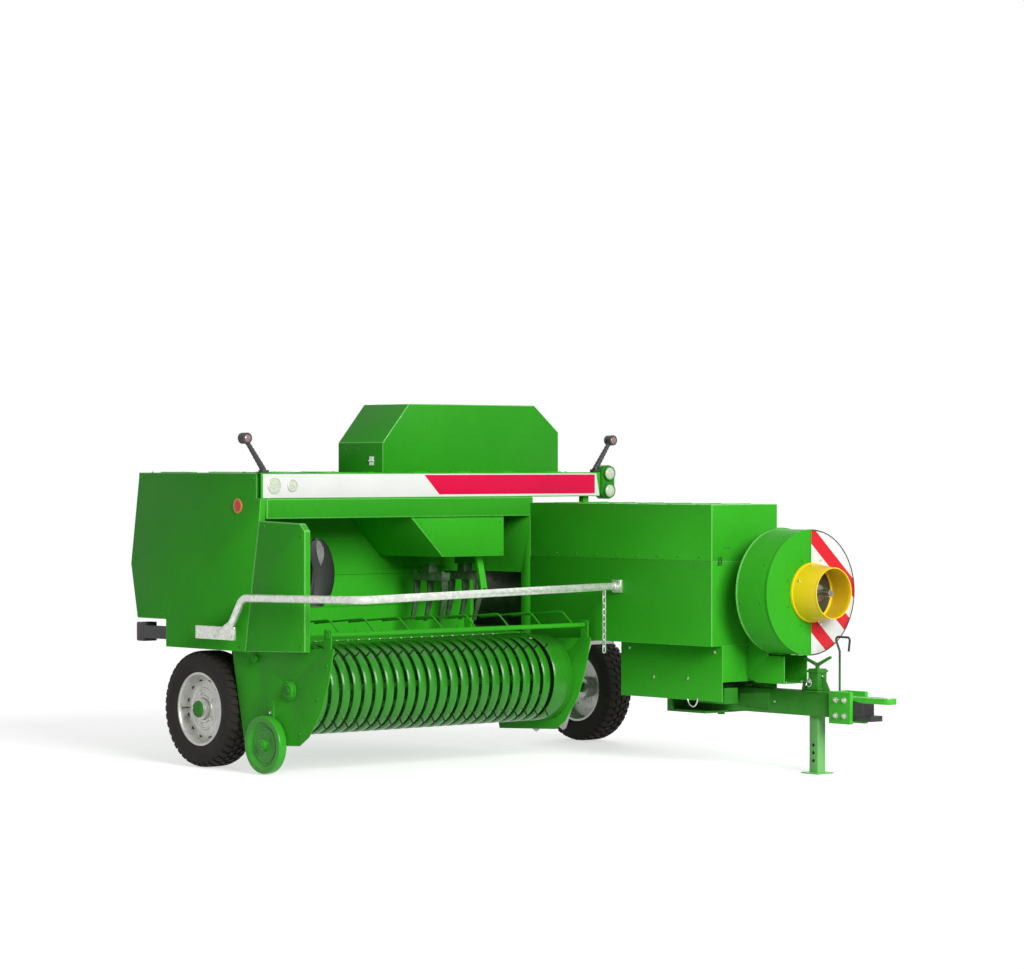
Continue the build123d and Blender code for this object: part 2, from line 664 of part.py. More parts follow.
def axle():
    """The axle beam with its stub axles, and the stands that carry the machine on it."""
    half = AXLE_BEAM / 2
    right_end = WHEEL_RIGHT_X + TYRE_WIDTH / 2 + 45
    left_end = WHEEL_LEFT_X - TYRE_WIDTH / 2 - 45
    beam = block((right_end, left_end), (-half, half), (WHEEL_RADIUS - half, WHEEL_RADIUS + half))
    beam += rod_x(0, WHEEL_RADIUS, AXLE_RADIUS, (WHEEL_RIGHT_X - 60, right_end))
    beam += rod_x(0, WHEEL_RADIUS, AXLE_RADIUS, (left_end, WHEEL_LEFT_X + 60))
    for x in (CENTRE_X - 150, CENTRE_X + 110):
        beam += block((x, x + 40), (-half, half), (WHEEL_RADIUS + half, CHAMBER_FLOOR_Z - 40))
    beam += block((right_end, right_end + 60), (-half, 0), (WHEEL_RADIUS + half, TROUGH_BEAM_Z))
    return beam


def tyre(x):
    """A closed ring from bead to crown."""
    half = TYRE_WIDTH / 2
    section = [
        (-half + 18, RIM_RADIUS), (-half, RIM_RADIUS + 48), (-half + 2, RIM_RADIUS + 78),
        (-half + 14, WHEEL_RADIUS - 9),
        (-half + 34, WHEEL_RADIUS), (half - 34, WHEEL_RADIUS), (half - 14, WHEEL_RADIUS - 9),
        (half - 2, RIM_RADIUS + 78), (half, RIM_RADIUS + 48), (half - 18, RIM_RADIUS),
    ]
    return turned_x([(x + dx, radius) for dx, radius in section], 0, WHEEL_RADIUS)


def rim(x, side):
    """A pressed rim: barrel, dished disc and hub; side is -1 for the right wheel and 1 for the left."""
    half = TYRE_WIDTH / 2 - 18
    barrel = [(-half, RIM_RADIUS), (half, RIM_RADIUS), (half, RIM_RADIUS - 12), (half - 20, RIM_RADIUS - 18),
              (-half + 20, RIM_RADIUS - 18), (-half, RIM_RADIUS - 12)]
    disc = [(20, RIM_RADIUS - 17), (28, RIM_RADIUS - 17), (46, 120), (46, 56), (38, 56), (38, 118)]
    hub = [(-40, AXLE_RADIUS + RUN_FIT), (-40, 64), (70, 58), (70, AXLE_RADIUS + RUN_FIT)]
    wheel = turned_x([(x + side * dx, r) for dx, r in barrel], 0, WHEEL_RADIUS)
    wheel += turned_x([(x + side * dx, r) for dx, r in disc], 0, WHEEL_RADIUS)
    wheel += turned_x([(x + side * dx, r) for dx, r in hub], 0, WHEEL_RADIUS)
    wheel += rod_x(0, WHEEL_RADIUS, 46, sorted((x + side * 70, x + side * 84)))
    return wheel


# Pickup


def pickup_plates():
    """The two end plates with their pivot bores, reel bearings and windguard ears."""
    plates = []
    for x in (PICKUP_RIGHT, PICKUP_LEFT - PLATE):
        plate = side_plate(END_PLATE, x, PLATE)
        plate += block((x, x + PLATE), (WIND_Y - 30, WIND_Y + 30), (640, WIND_Z + 26))
        plate -= rod_x(PICKUP_PIVOT_Y, PICKUP_PIVOT_Z, PICKUP_PIN + RUN_FIT, (x - 1, x + PLATE + 1))
        plate -= rod_x(WIND_Y, WIND_Z, WIND_RADIUS - 3 + RUN_FIT, (x - 1, x + PLATE + 1))
        plate -= rod_x(REEL_Y, REEL_Z, 20 + RUN_FIT, (x - 1, x + PLATE + 1))
        plates.append(plate)
    arm_x = PICKUP_RIGHT - PLATE
    arm = block((arm_x, PICKUP_RIGHT), (GAUGE_Y - 25, GAUGE_Y + 25), (GAUGE_Z - 25, 400))
    plates[0] += arm + rod_x(GAUGE_Y, GAUGE_Z, GAUGE_PIN, (GAUGE_X - GAUGE_WIDTH / 2 - 8, arm_x))
    return plates


def band(width):
    """One stripper band with a crowned back: flat top, round front and short foot, from x = 0 leftwards."""
    path = Wire([
        Edge.make_line((0, BAND_REAR, REEL_Z + BAND_RADIUS), (0, REEL_Y, REEL_Z + BAND_RADIUS)),
        Edge.make_three_point_arc(
            (0, REEL_Y, REEL_Z + BAND_RADIUS), (0, REEL_Y - BAND_RADIUS, REEL_Z),
            (0, REEL_Y, REEL_Z - BAND_RADIUS)
        ),
        Edge.make_line((0, REEL_Y, REEL_Z - BAND_RADIUS), (0, BAND_FOOT, REEL_Z - BAND_RADIUS)),
    ])
    crown = [
        (0, -BAND_DEPTH), (0, -BAND_CROWN), (BAND_SLOPE, 0), (width - BAND_SLOPE, 0), (width, -BAND_CROWN),
        (width, -BAND_DEPTH),
    ]
    start = Plane(origin=(0, BAND_REAR, REEL_Z + BAND_RADIUS), x_dir=(1, 0, 0), z_dir=(0, -1, 0))
    return sweep(start * make_face(Polyline(*crown, close=True)), path=path)


def reel_pan():
    """The curved sheet that closes the pickup behind the reel, as a (y, z) face."""
    rise = [math.radians(angle) for angle in (-50, 0, 41)]
    arcs = []
    for radius in (PAN_RADIUS, PAN_RADIUS - PAN_THICK):
        points = [(REEL_Y + radius * math.cos(a), REEL_Z + radius * math.sin(a)) for a in rise]
        arcs.append(ThreePointArc(*points))
    outer, inner = arcs
    return make_face([outer, inner, Line(outer @ 0, inner @ 0), Line(outer @ 1, inner @ 1)])


def band_starts():
    first = PICKUP_RIGHT + PLATE + 15
    return [first + BAND_PITCH * i for i in range(BAND_COUNT)]


def strippers():
    """The crowned bands that the tines pass between, their two cross members and the pan behind the reel."""
    left = PICKUP_LEFT - PLATE
    narrow = band(BAND_WIDTH)
    bands = [Pos(x, 0, 0) * narrow for x in band_starts()]
    bands.append(Pos(left - END_BAND_WIDTH, 0, 0) * band(END_BAND_WIDTH))
    top = REEL_Z + BAND_RADIUS - BAND_DEPTH + TOUCH
    low = REEL_Z - BAND_RADIUS + BAND_DEPTH - TOUCH
    span = (PICKUP_RIGHT + PLATE, left)
    beam = block(span, (BAND_REAR - 16, BAND_REAR), (top - 40, top))
    foot = block(span, (BAND_FOOT - 12, BAND_FOOT + 12), (low, low + 20))
    flat = Plane(origin=(span[0], 0, 0), x_dir=(0, 1, 0), z_dir=(1, 0, 0))
    pan = extrude(flat * reel_pan(), span[1] - span[0])
    return beam + foot + pan + bands


def tine_reel():
    """Shaft, spiders, square tine bars and the spring tines in every gap between the bands."""
    left = PICKUP_LEFT - PLATE
    shaft = rod_x(REEL_Y, REEL_Z, 20, (PICKUP_RIGHT - 30, PICKUP_LEFT + 8))
    spiders = []
    for x in (PICKUP_RIGHT + PLATE + 6, (PICKUP_RIGHT + left) / 2, left - 12):
        spiders.append(rod_x(REEL_Y, REEL_Z, TINE_BAR_CIRCLE + 24, (x, x + 6)))
    bar_span = (PICKUP_RIGHT + PLATE + 6, left - 6)
    half = TINE_BAR_SIZE / 2
    bar = block(bar_span, (-half, half), (TINE_BAR_CIRCLE - half, TINE_BAR_CIRCLE + half))
    middle = (TINE_BAR_CIRCLE + TINE_REACH) / 2
    for x in band_starts():
        gap = x + BAND_WIDTH + (BAND_PITCH - BAND_WIDTH) / 2
        across = (gap - TINE_THICK / 2, gap + TINE_THICK / 2)
        bend = [
            (-3, TINE_BAR_CIRCLE + half), (3, TINE_BAR_CIRCLE + half), (11, middle), (3, TINE_REACH - 1),
            (-3, TINE_REACH - 1), (5, middle),
        ]
        bar += side_plate(bend, across[0], TINE_THICK)
    bars = [Pos(0, REEL_Y, REEL_Z) * Rot(360 / TINE_BARS * k + 45, 0, 0) * bar for k in range(TINE_BARS)]
    return shaft + spiders + bars


def windguard():
    """The swinging bar with its long wire fingers."""
    span = (PICKUP_RIGHT + PLATE + 2, PICKUP_LEFT - PLATE - 2)
    bar = rod_x(WIND_Y, WIND_Z, WIND_RADIUS, span)
    bar += rod_x(WIND_Y, WIND_Z, WIND_RADIUS - 3, (PICKUP_RIGHT - 8, PICKUP_LEFT + 8))
    pitch = (span[1] - span[0] - 160) / (WIND_FINGERS - 1)
    fingers = []
    for i in range(WIND_FINGERS):
        x = span[0] + 80 + pitch * i
        start = (x, WIND_Y, WIND_Z)
        rise = (x, WIND_Y + 95, WIND_Z + 75)
        tip = (x, WIND_Y + WIND_REACH, WIND_Z + 36)
        fingers.append(bent_bar([start, rise, tip], 60, 5))
    return bar + fingers


def gauge_wheel():
    """The pressed wheel that carries the pickup over the ground."""
    half = GAUGE_WIDTH / 2
    bore = GAUGE_PIN + RUN_FIT
    section = [
        (-half, GAUGE_RADIUS - 6), (-half + 6, GAUGE_RADIUS), (half - 6, GAUGE_RADIUS),
        (half, GAUGE_RADIUS - 6),
        (half, GAUGE_RADIUS - 30), (4, GAUGE_RADIUS - 50), (4, 36), (half - 2, 30), (half - 2, bore),
        (-half, bore), (-half, 30), (-4, 36), (-4, GAUGE_RADIUS - 50), (-half, GAUGE_RADIUS - 30),
    ]
    return turned_x([(GAUGE_X + dx, r) for dx, r in section], GAUGE_Y, GAUGE_Z)


# Drawbar, hitch and jack


def drawbar():
    """The box beam, bored for its swing pin and for the jack leg."""
    half = BEAM_WIDE / 2
    beam = block((-half, half), (BEAM_FRONT, BEAM_REAR), (BEAM_LOW, BEAM_HIGH))
    beam -= rod_z(0, SWING_Y, SWING_PIN + RUN_FIT, (BEAM_LOW - 1, BEAM_HIGH + 1))
    leg = JACK_SIZE / 2 + SLIDE_FIT
    beam -= block((-leg, leg), (JACK_Y - leg, JACK_Y + leg), (BEAM_LOW - 1, BEAM_HIGH + 1))
    return beam


def hitch():
    """The head plates and the towing eye."""
    head = block((-70, 70), (HEAD_FRONT, BEAM_FRONT), (281, 451))
    head -= block((-46, 46), (HEAD_FRONT - 1, BEAM_FRONT - 20), (280, 452))
    tongue = block((-45, 45), (EYE_TIP + 45, BEAM_FRONT - 20), (EYE_Z - EYE_THICK / 2, EYE_Z + EYE_THICK / 2))
    tongue += rod_z(0, EYE_TIP + 45, 45, (EYE_Z - EYE_THICK / 2, EYE_Z + EYE_THICK / 2))
    tongue -= rod_z(0, EYE_TIP + 45, EYE_BORE, (EYE_Z - EYE_THICK, EYE_Z + EYE_THICK))
    jaw = block((-45, 45), (HEAD_FRONT - 128, BEAM_FRONT - 20), (300, 330))
    jaw += block((-45, 45), (HEAD_FRONT - 68, BEAM_FRONT - 20), (330, EYE_Z - EYE_THICK / 2))
    return head + tongue + jaw


def shaft_rest():
    """The braced jack sleeve on the drawbar, with the forked rest for the drive shaft on top."""
    leg = JACK_SIZE / 2 + SLIDE_FIT
    outer = leg + SHEET
    sleeve = block((-outer, outer), (JACK_Y - outer, JACK_Y + outer), (BEAM_HIGH, REST_Z))
    sleeve -= block((-leg, leg), (JACK_Y - leg, JACK_Y + leg), (BEAM_HIGH - 1, REST_Z - SHEET))
    for side in (-1, 1):
        brace = [
            (JACK_Y + side * outer, BEAM_HIGH), (JACK_Y + side * (outer + 55), BEAM_HIGH),
            (JACK_Y + side * (outer + 55), BEAM_HIGH + 12), (JACK_Y + side * outer, REST_Z - 10),
        ]
        sleeve += side_plate(brace, -PLATE / 2, PLATE)
    fork = side_plate(
        [(JACK_Y - 8, REST_Z), (JACK_Y + 8, REST_Z), (JACK_Y + 8, REST_Z + 14), (JACK_Y + 100, REST_Z + 50),
         (JACK_Y + 94, REST_Z + 60), (JACK_Y, REST_Z + 28), (JACK_Y - 94, REST_Z + 70),
         (JACK_Y - 100, REST_Z + 60), (JACK_Y - 8, REST_Z + 14)],
        -8, 16,
    )
    return sleeve + fork


def beam_brackets():
    """Two low lugs on top of the drawbar, the front one with an eye for the hoses."""
    top = BEAM_HIGH + 25
    y = CASE_FRONT
    rear = side_plate([(y - 67, BEAM_HIGH), (y + 38, BEAM_HIGH), (y + 18, top), (y - 42, top)], -20, 8)
    y = JACK_Y + 64
    high = top + 30
    front = side_plate([(y - 34, BEAM_HIGH), (y + 34, BEAM_HIGH), (y + 24, high), (y - 24, high)], -20, 8)
    return [rear, front - rod_x(y, top + 6, 12, (-21, -11))]


def hose_hook():
    """The upright rod with a loop that holds the hoses."""
    y = BEAM_FRONT + 15
    return bent_bar(
        [(30, y, BEAM_HIGH), (30, y, 660), (30, y + 35, 735), (30, y - 75, 735), (30, y - 65, 660)], 16, 6
    )


def drawbar_fittings():
    return [shaft_rest(), hose_hook()] + beam_brackets()


def jack_leg():
    """The sliding leg and its foot plate."""
    half = JACK_SIZE / 2
    foot = JACK_FOOT / 2
    leg = block((-half, half), (JACK_Y - half, JACK_Y + half), (8, JACK_TOP))
    leg += block((-foot, foot), (JACK_Y - foot, JACK_Y + foot), (0, 8))
    return leg


def drawbar_carrier():
    """Plates around the drawbar's tail, hung from the case, with the swing pin and the lock beside it."""
    tail = BEAM_REAR + 60
    upper = block((-220, 120), (SWING_Y - 140, tail), (BEAM_HIGH + TOUCH, BEAM_HIGH + TOUCH + 12))
    lower = block((-220, 120), (SWING_Y - 100, tail), (BEAM_LOW - TOUCH - 12, BEAM_LOW - TOUCH))
    carrier = upper + lower + rod_z(0, SWING_Y, SWING_PIN, (BEAM_LOW - TOUCH - 30, BEAM_HIGH + TOUCH + 30))
    for x in (-220, 108):
        carrier += block((x, x + 12), (tail - 40, tail), (BEAM_LOW - TOUCH, CASE_BOTTOM))
    carrier += block((-220, 120), (tail - 12, tail), (BEAM_LOW - TOUCH, CASE_BOTTOM))
    carrier += block((-215, -112), (SWING_Y - 240, SWING_Y - 40), (355, BEAM_HIGH + TOUCH))
    return carrier


# Guard rail, lamps and small gear


def guard_rail():
    """The galvanised rail: foot plate on the side cover, bend up, long side and front run."""
    pipe = bent_bar(
        [(RAIL_X, -300, 752), (RAIL_X, -395, 800), (RAIL_X, -492, 941), (RAIL_X, -1500, 958),
        (CASE_RIGHT - 16, CHAIN_Y + 9, RAIL_FRONT_Z)],
        70, RAIL_RADIUS,
    )
    foot = block((RAIL_X - 8, RAIL_X + 8), (-421, -78), (712, 782))
    stand = block((RAIL_X + 8, COVER_RIGHT), (-180, -120), (722, 772))
    clamp_z = (RAIL_FRONT_Z - 35, RAIL_FRONT_Z + 35)
    clamp = block((CASE_RIGHT - 16, CASE_RIGHT), (CHAIN_Y - 27, CHAIN_Y + 43), clamp_z)
    eye, *links = hanging_chain()
    return [pipe + foot + stand + clamp + eye] + links


def hanging_chain():
    """The pickup's stay chain, hung straight down; its first link is the eye under the guard rail."""
    eye_z = RAIL_FRONT_Z - RAIL_RADIUS + LINK_WIRE / 2 - LINK_LONG / 2
    hole = SlotOverall(LINK_LONG - 2 * LINK_WIRE, LINK_WIDE - 2 * LINK_WIRE)
    slot = SlotOverall(LINK_LONG, LINK_WIDE) - hole
    link = Rot(0, 90, 0) * extrude(slot, LINK_WIRE / 2, both=True)
    step = LINK_LONG - 2 * LINK_WIRE - LINK_SLACK
    return [Pos(CHAIN_X, CHAIN_Y, eye_z - step * i) * Rot(0, 0, 90 * (i % 2)) * link for i in range(LINK_COUNT)]


def marker_lamp(x, lean):
    """A rubber stem lamp that leans outwards; lean is -1 to the right and 1 to the left."""
    foot = (x, HEADER_FRONT + 20, HEADER_TOP + 14)
    head = (x + lean * 125, HEADER_FRONT + 20, HEADER_TOP + 185)
    run = Vector(*head) - Vector(*foot)
    stem = Plane(origin=foot, z_dir=run) * Pos(0, 0, run.length / 2) * Cone(16, 11, run.length)
    base = block((x - 20, x + 20), (HEADER_FRONT, HEADER_FRONT + 40), (HEADER_TOP, HEADER_TOP + 16))
    lens = Pos(*head) * Rot(90, 0, 0) * Cylinder(30, 44)
    return base + stem + lens


def front_lamps():
    """The housing with two round lenses at the left end of the header."""
    span = (HEADER_FRONT - 20, HEADER_FRONT + 50)
    housing = block((HEADER_LEFT, HEADER_LEFT + 96), span, (LAMP_LOW, LAMP_HIGH))
    for z in (LAMP_LOW, LAMP_HIGH):
        housing += rod_y(HEADER_LEFT + 48, z, 48, span)
        housing += rod_y(HEADER_LEFT + 48, z, 41, (HEADER_FRONT - 32, HEADER_FRONT - 20))
    return housing


def front_lights():
    lamps = [marker_lamp(COVER_RIGHT + 33, -1), marker_lamp(HEADER_LEFT - 22, 1)]
    return lamps + [front_lamps()]


def tail_lamps():
    """The black rear lamps on their bars."""
    right = block((COVER_RIGHT, COVER_RIGHT + COVER_DEPTH), (SKIRT_EDGE, 493), (690, 760))
    right += block((COVER_RIGHT, COVER_RIGHT + 90), (493, 560), (672, 778))
    left = block((CASE_LEFT, 560), (493, 533), (700, 740))
    left += block((470, 700), (533, 600), (672, 778))
    return [right, left]


def bale_chute():
    """The folding ramp behind the chamber."""
    drop = math.radians(CHUTE_DROP)
    end = (CHUTE_Y + CHUTE_LENGTH * math.cos(drop), CHUTE_Z - CHUTE_LENGTH * math.sin(drop))
    outline = [(CHUTE_Y, CHUTE_Z + 6), (CHUTE_Y, CHUTE_Z), (end[0], end[1]), (end[0], end[1] + 6)]
    ramp = side_plate(outline, INNER_RIGHT + 16, BALE_WIDTH - 32)
    rail = [(CHUTE_Y + 30, CHUTE_Z), (CHUTE_Y + 30, CHUTE_Z + 80), (end[0] - 10, end[1] + 60),
        (end[0] - 10, end[1])]
    ramp += side_plate(rail, INNER_RIGHT + 16, 6) + side_plate(rail, INNER_LEFT - 22, 6)
    ramp += rod_x(CHUTE_Y, CHUTE_Z, 13, (INNER_RIGHT + 16, INNER_LEFT - 16))
    ramp -= rod_x(CHUTE_Y, CHUTE_Z, CHUTE_PIN + RUN_FIT, (INNER_RIGHT, INNER_LEFT))
    return ramp


def knotter():
    """The knotter shaft with toothed cam discs and crank, and the frames with twine disc and bill hook."""
    y = KNOTTER_Y
    z = KNOTTER_Z
    gear = rod_x(y, z, 22, (CASE_RIGHT + 20, ROD_X + 8))
    tooth = [(-7, CAM_RADIUS - 4), (-4, CAM_RADIUS + 9), (4, CAM_RADIUS + 9), (7, CAM_RADIUS - 4)]
    for x in (CENTRE_X - 130, CENTRE_X + 90):
        gear += rod_x(y, z, CAM_RADIUS, (x, x + 24)) - rod_x(y, z, CAM_RADIUS - 16, (x - 1, x + 9))
        gear += rod_x(y, z, 44, (x - 6, x + 9))
        for turn in range(200, 320, 12):
            gear += Pos(0, y, z) * Rot(turn, 0, 0) * side_plate(tooth, x + 9, 15)
        frame = [
            (y - 60, CHAMBER_TOP_Z + PLATE), (y + 95, CHAMBER_TOP_Z + PLATE), (y + 80, z - 90),
            (y + 30, z + 22),
            (y, z + 34), (y - 30, z + 22), (y - 36, z - 90),
        ]
        gear += side_plate(frame, x + 34, 26)
        gear += rod_x(y + 50, z - 110, 34, (x + 60, x + 72)) + rod_x(y + 50, z - 110, 8, (x + 60, x + 84))
        gear += rod_y(x + 66, z - 62, 9, (y - 52, y + 20)) + block((x + 60, x + 72), (y - 70, y - 52),
            (z - 86, z - 56))
    crank = [(y - 18, z + 22), (y + 18, z + 22), (CRANK_Y + 16, CRANK_Z - 12), (CRANK_Y - 16, CRANK_Z - 12)]
    gear += side_plate(crank, ROD_X, 8) + rod_x(CRANK_Y, CRANK_Z, 10, (ROD_X, ROD_X + 28))
    return gear


def star_wheel():
    """The toothed wheel that measures the bale."""
    wheel = rod_x(STAR_Y, STAR_Z, STAR_RADIUS - 22, (CENTRE_X - 5, CENTRE_X + 5))
    for k in range(12):
        tooth = Polyline((-12, STAR_RADIUS - 30), (0, STAR_RADIUS), (12, STAR_RADIUS - 30), close=True)
        flat = Plane(origin=(CENTRE_X - 5, STAR_Y, STAR_Z), x_dir=(0, 1, 0), z_dir=(1, 0, 0))
        wheel += extrude(flat * Rot(0, 0, 30 * k) * make_face(tooth), 10)
    wheel -= rod_x(STAR_Y, STAR_Z, STAR_PIN + RUN_FIT, (CENTRE_X - 20, CENTRE_X + 20))
    return wheel


def needles():
    """The two curved needles and their yoke below the chamber, with the pull rod from the knotter crank."""
    yoke = rod_x(NEEDLE_Y, NEEDLE_Z, 20, (INNER_RIGHT, ROD_X + 8))
    arm = [
        (NEEDLE_Y - 26, NEEDLE_Z - 10), (NEEDLE_Y + 20, NEEDLE_Z - 22), (ARM_Y + 18, ARM_Z + 6),
        (ARM_Y - 18, ARM_Z + 12),
    ]
    yoke += side_plate(arm, ROD_X, 8) + rod_x(ARM_Y, ARM_Z, 10, (ROD_X, ROD_X + 28))
    middle_x = ROD_X + 18
    yoke += rod_between((middle_x, ARM_Y, ARM_Z), (middle_x, CRANK_Y, CRANK_Z), 9)
    for y, z in ((ARM_Y, ARM_Z), (CRANK_Y, CRANK_Z)):
        yoke += rod_x(y, z, 20, (middle_x - 8, middle_x + 8))
    yoke -= rod_x(CRANK_Y, CRANK_Z, 10 + RUN_FIT, (ROD_X + 9, ROD_X + 27))
    for x in (INNER_RIGHT, INNER_LEFT - 12):
        yoke += block((x, x + 12), (NEEDLE_Y - 20, NEEDLE_Y + 20), (NEEDLE_Z, CASE_BOTTOM))
    flat = Plane(origin=(0, NEEDLE_Y, NEEDLE_Z), x_dir=(0, 1, 0), z_dir=(1, 0, 0))
    ring = Circle(NEEDLE_REACH) - Circle(NEEDLE_REACH - 26)
    wedge = make_face(Polyline((0, 0), (900, 0), (900, -900), (400, -900), close=True))
    needle = extrude(flat * (ring & wedge), 12)
    arm_y = NEEDLE_REACH * 0.41
    arm_z = -NEEDLE_REACH * 0.9
    arm_outline = [(0, 18), (0, -18), (arm_y - 18, arm_z), (arm_y + 26, arm_z + 12)]
    for x in (CENTRE_X - 110, CENTRE_X + 98):
        yoke += Pos(x, 0, 0) * needle
        yoke += side_plate([(NEEDLE_Y + y, NEEDLE_Z + z) for y, z in arm_outline], x, 12)
    return yoke


NODES = {
    "chamber_left_wall": lambda: chamber_wall(INNER_LEFT, CASE_LEFT),
    "chamber_right_wall": chamber_right,
    "chamber_floor": chamber_floor,
    "chamber_top": chamber_top,
    "tension_rails": tension_rails,
    "tension_frames": tension_frames,
    "front_case": front_case,
    "drive_cover": drive_cover,
    "lower_skirt": lower_skirt,
    "gearbox": gearbox,
    "plunger": plunger,
    "flywheel_cover": flywheel_cover,
    "cover_pedestal": cover_pedestal,
    "striped_board": striped_board,
    "input_guard": input_guard,
    "flywheel": flywheel,
    "header_strip": header_strip,
    "header_beam": header_beam,
    "roof": roof,
    "feeder_hood": feeder_hood,
    "trough": trough,
    "feeder_housing": feeder_housing,
    "feeder_forks": feeder_forks,
    "side_cover": side_cover,
    "drive_guard": drive_guard,
    "twine_box": twine_box,
    "twine_door": twine_door,
    "axle": axle,
    "tyre_right": lambda: tyre(WHEEL_RIGHT_X),
    "tyre_left": lambda: tyre(WHEEL_LEFT_X),
    "rim_right": lambda: rim(WHEEL_RIGHT_X, -1),
    "rim_left": lambda: rim(WHEEL_LEFT_X, 1),
    "pickup_plates": pickup_plates,
    "strippers": strippers,
    "tine_reel": tine_reel,
    "windguard": windguard,
    "gauge_wheel": gauge_wheel,
    "drawbar": drawbar,
    "hitch": hitch,
    "drawbar_fittings": drawbar_fittings,
    "jack_leg": jack_leg,
    "drawbar_carrier": drawbar_carrier,
    "guard_rail": guard_rail,
    "front_lights": front_lights,
    "tail_lamps": tail_lamps,
    "bale_chute": bale_chute,
    "knotter": knotter,
    "star_wheel": star_wheel,
    "needles": needles,
}


def as_compound(shape):
    """One compound of plain solids from whatever a piece's function gives."""
    found = []
    for item in shape if isinstance(shape, (list, tuple)) else [shape]:
        found.extend(item.solids())
    return Compound(found)


pieces = {name: as_compound(make()) for name, make in NODES.items()}
whole = Compound(list(pieces.values())).bounding_box()
ORIGIN = ((whole.min.X + whole.max.X) / 2, (whole.min.Y + whole.max.Y) / 2, whole.min.Z)
os.makedirs("parts", exist_ok=True)
for name, piece in pieces.items():
    export_step(Pos(-ORIGIN[0], -ORIGIN[1], -ORIGIN[2]) * piece, f"parts/{name}.step")
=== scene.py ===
from math import atan2, cos, hypot, pi, radians, sin

import bmesh
import bpy
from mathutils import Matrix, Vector


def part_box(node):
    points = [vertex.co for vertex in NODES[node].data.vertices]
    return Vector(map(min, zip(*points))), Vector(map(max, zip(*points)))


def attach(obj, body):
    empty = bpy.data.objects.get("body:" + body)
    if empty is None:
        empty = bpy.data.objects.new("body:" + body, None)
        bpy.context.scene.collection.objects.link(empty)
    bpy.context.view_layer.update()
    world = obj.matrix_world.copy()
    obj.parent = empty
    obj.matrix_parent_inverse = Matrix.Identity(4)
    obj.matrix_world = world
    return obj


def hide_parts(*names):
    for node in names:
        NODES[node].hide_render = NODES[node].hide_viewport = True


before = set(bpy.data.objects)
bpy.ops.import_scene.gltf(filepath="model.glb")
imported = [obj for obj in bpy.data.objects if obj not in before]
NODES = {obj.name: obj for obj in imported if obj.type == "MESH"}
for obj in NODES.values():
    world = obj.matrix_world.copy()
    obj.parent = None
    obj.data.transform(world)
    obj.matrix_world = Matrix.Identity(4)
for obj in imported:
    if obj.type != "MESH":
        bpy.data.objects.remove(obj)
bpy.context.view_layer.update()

# Places of the added pieces are in millimetres: x from the drawbar line, y from the axle, z from the ground.
_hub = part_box("tyre_right")
_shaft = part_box("flywheel")
ZERO = Vector(((_shaft[0].x + _shaft[1].x) / 2, (_hub[0].y + _hub[1].y) / 2, 0.0))

# Lines of the machine that several added pieces share
WHEELS = (("right", -2185, -1), ("left", 605, 1))  # hand, middle, outward direction
HUB_Z = 319
INPUT_Z = 968
CASE_LEFT, CASE_FRONT = 146, -2048
CASE_SIDES = ((-358, -1), (CASE_LEFT, 1))  # face, outward direction
DRUM_FACE = -2441
COVER_RIGHT, HOOD_LEFT, ROOF_TOP = -2282, 182, 1610
PLATE_RIGHT, PLATE_LEFT = -2236, -406
FIRST_BAND, BAND_PITCH, BANDS = -2215, 75, 22
REEL_Y, REEL_Z = -772, 456
GAUGE_Y, GAUGE_Z = -610, 161
JACK_Y = -2490
CHUTE_Y, CHUTE_Z = 1714, 682


def at(x, y, z):
    """A point in metres, in the frame of the model."""
    return ZERO + Vector((x, y, z)) / 1000


# Materials


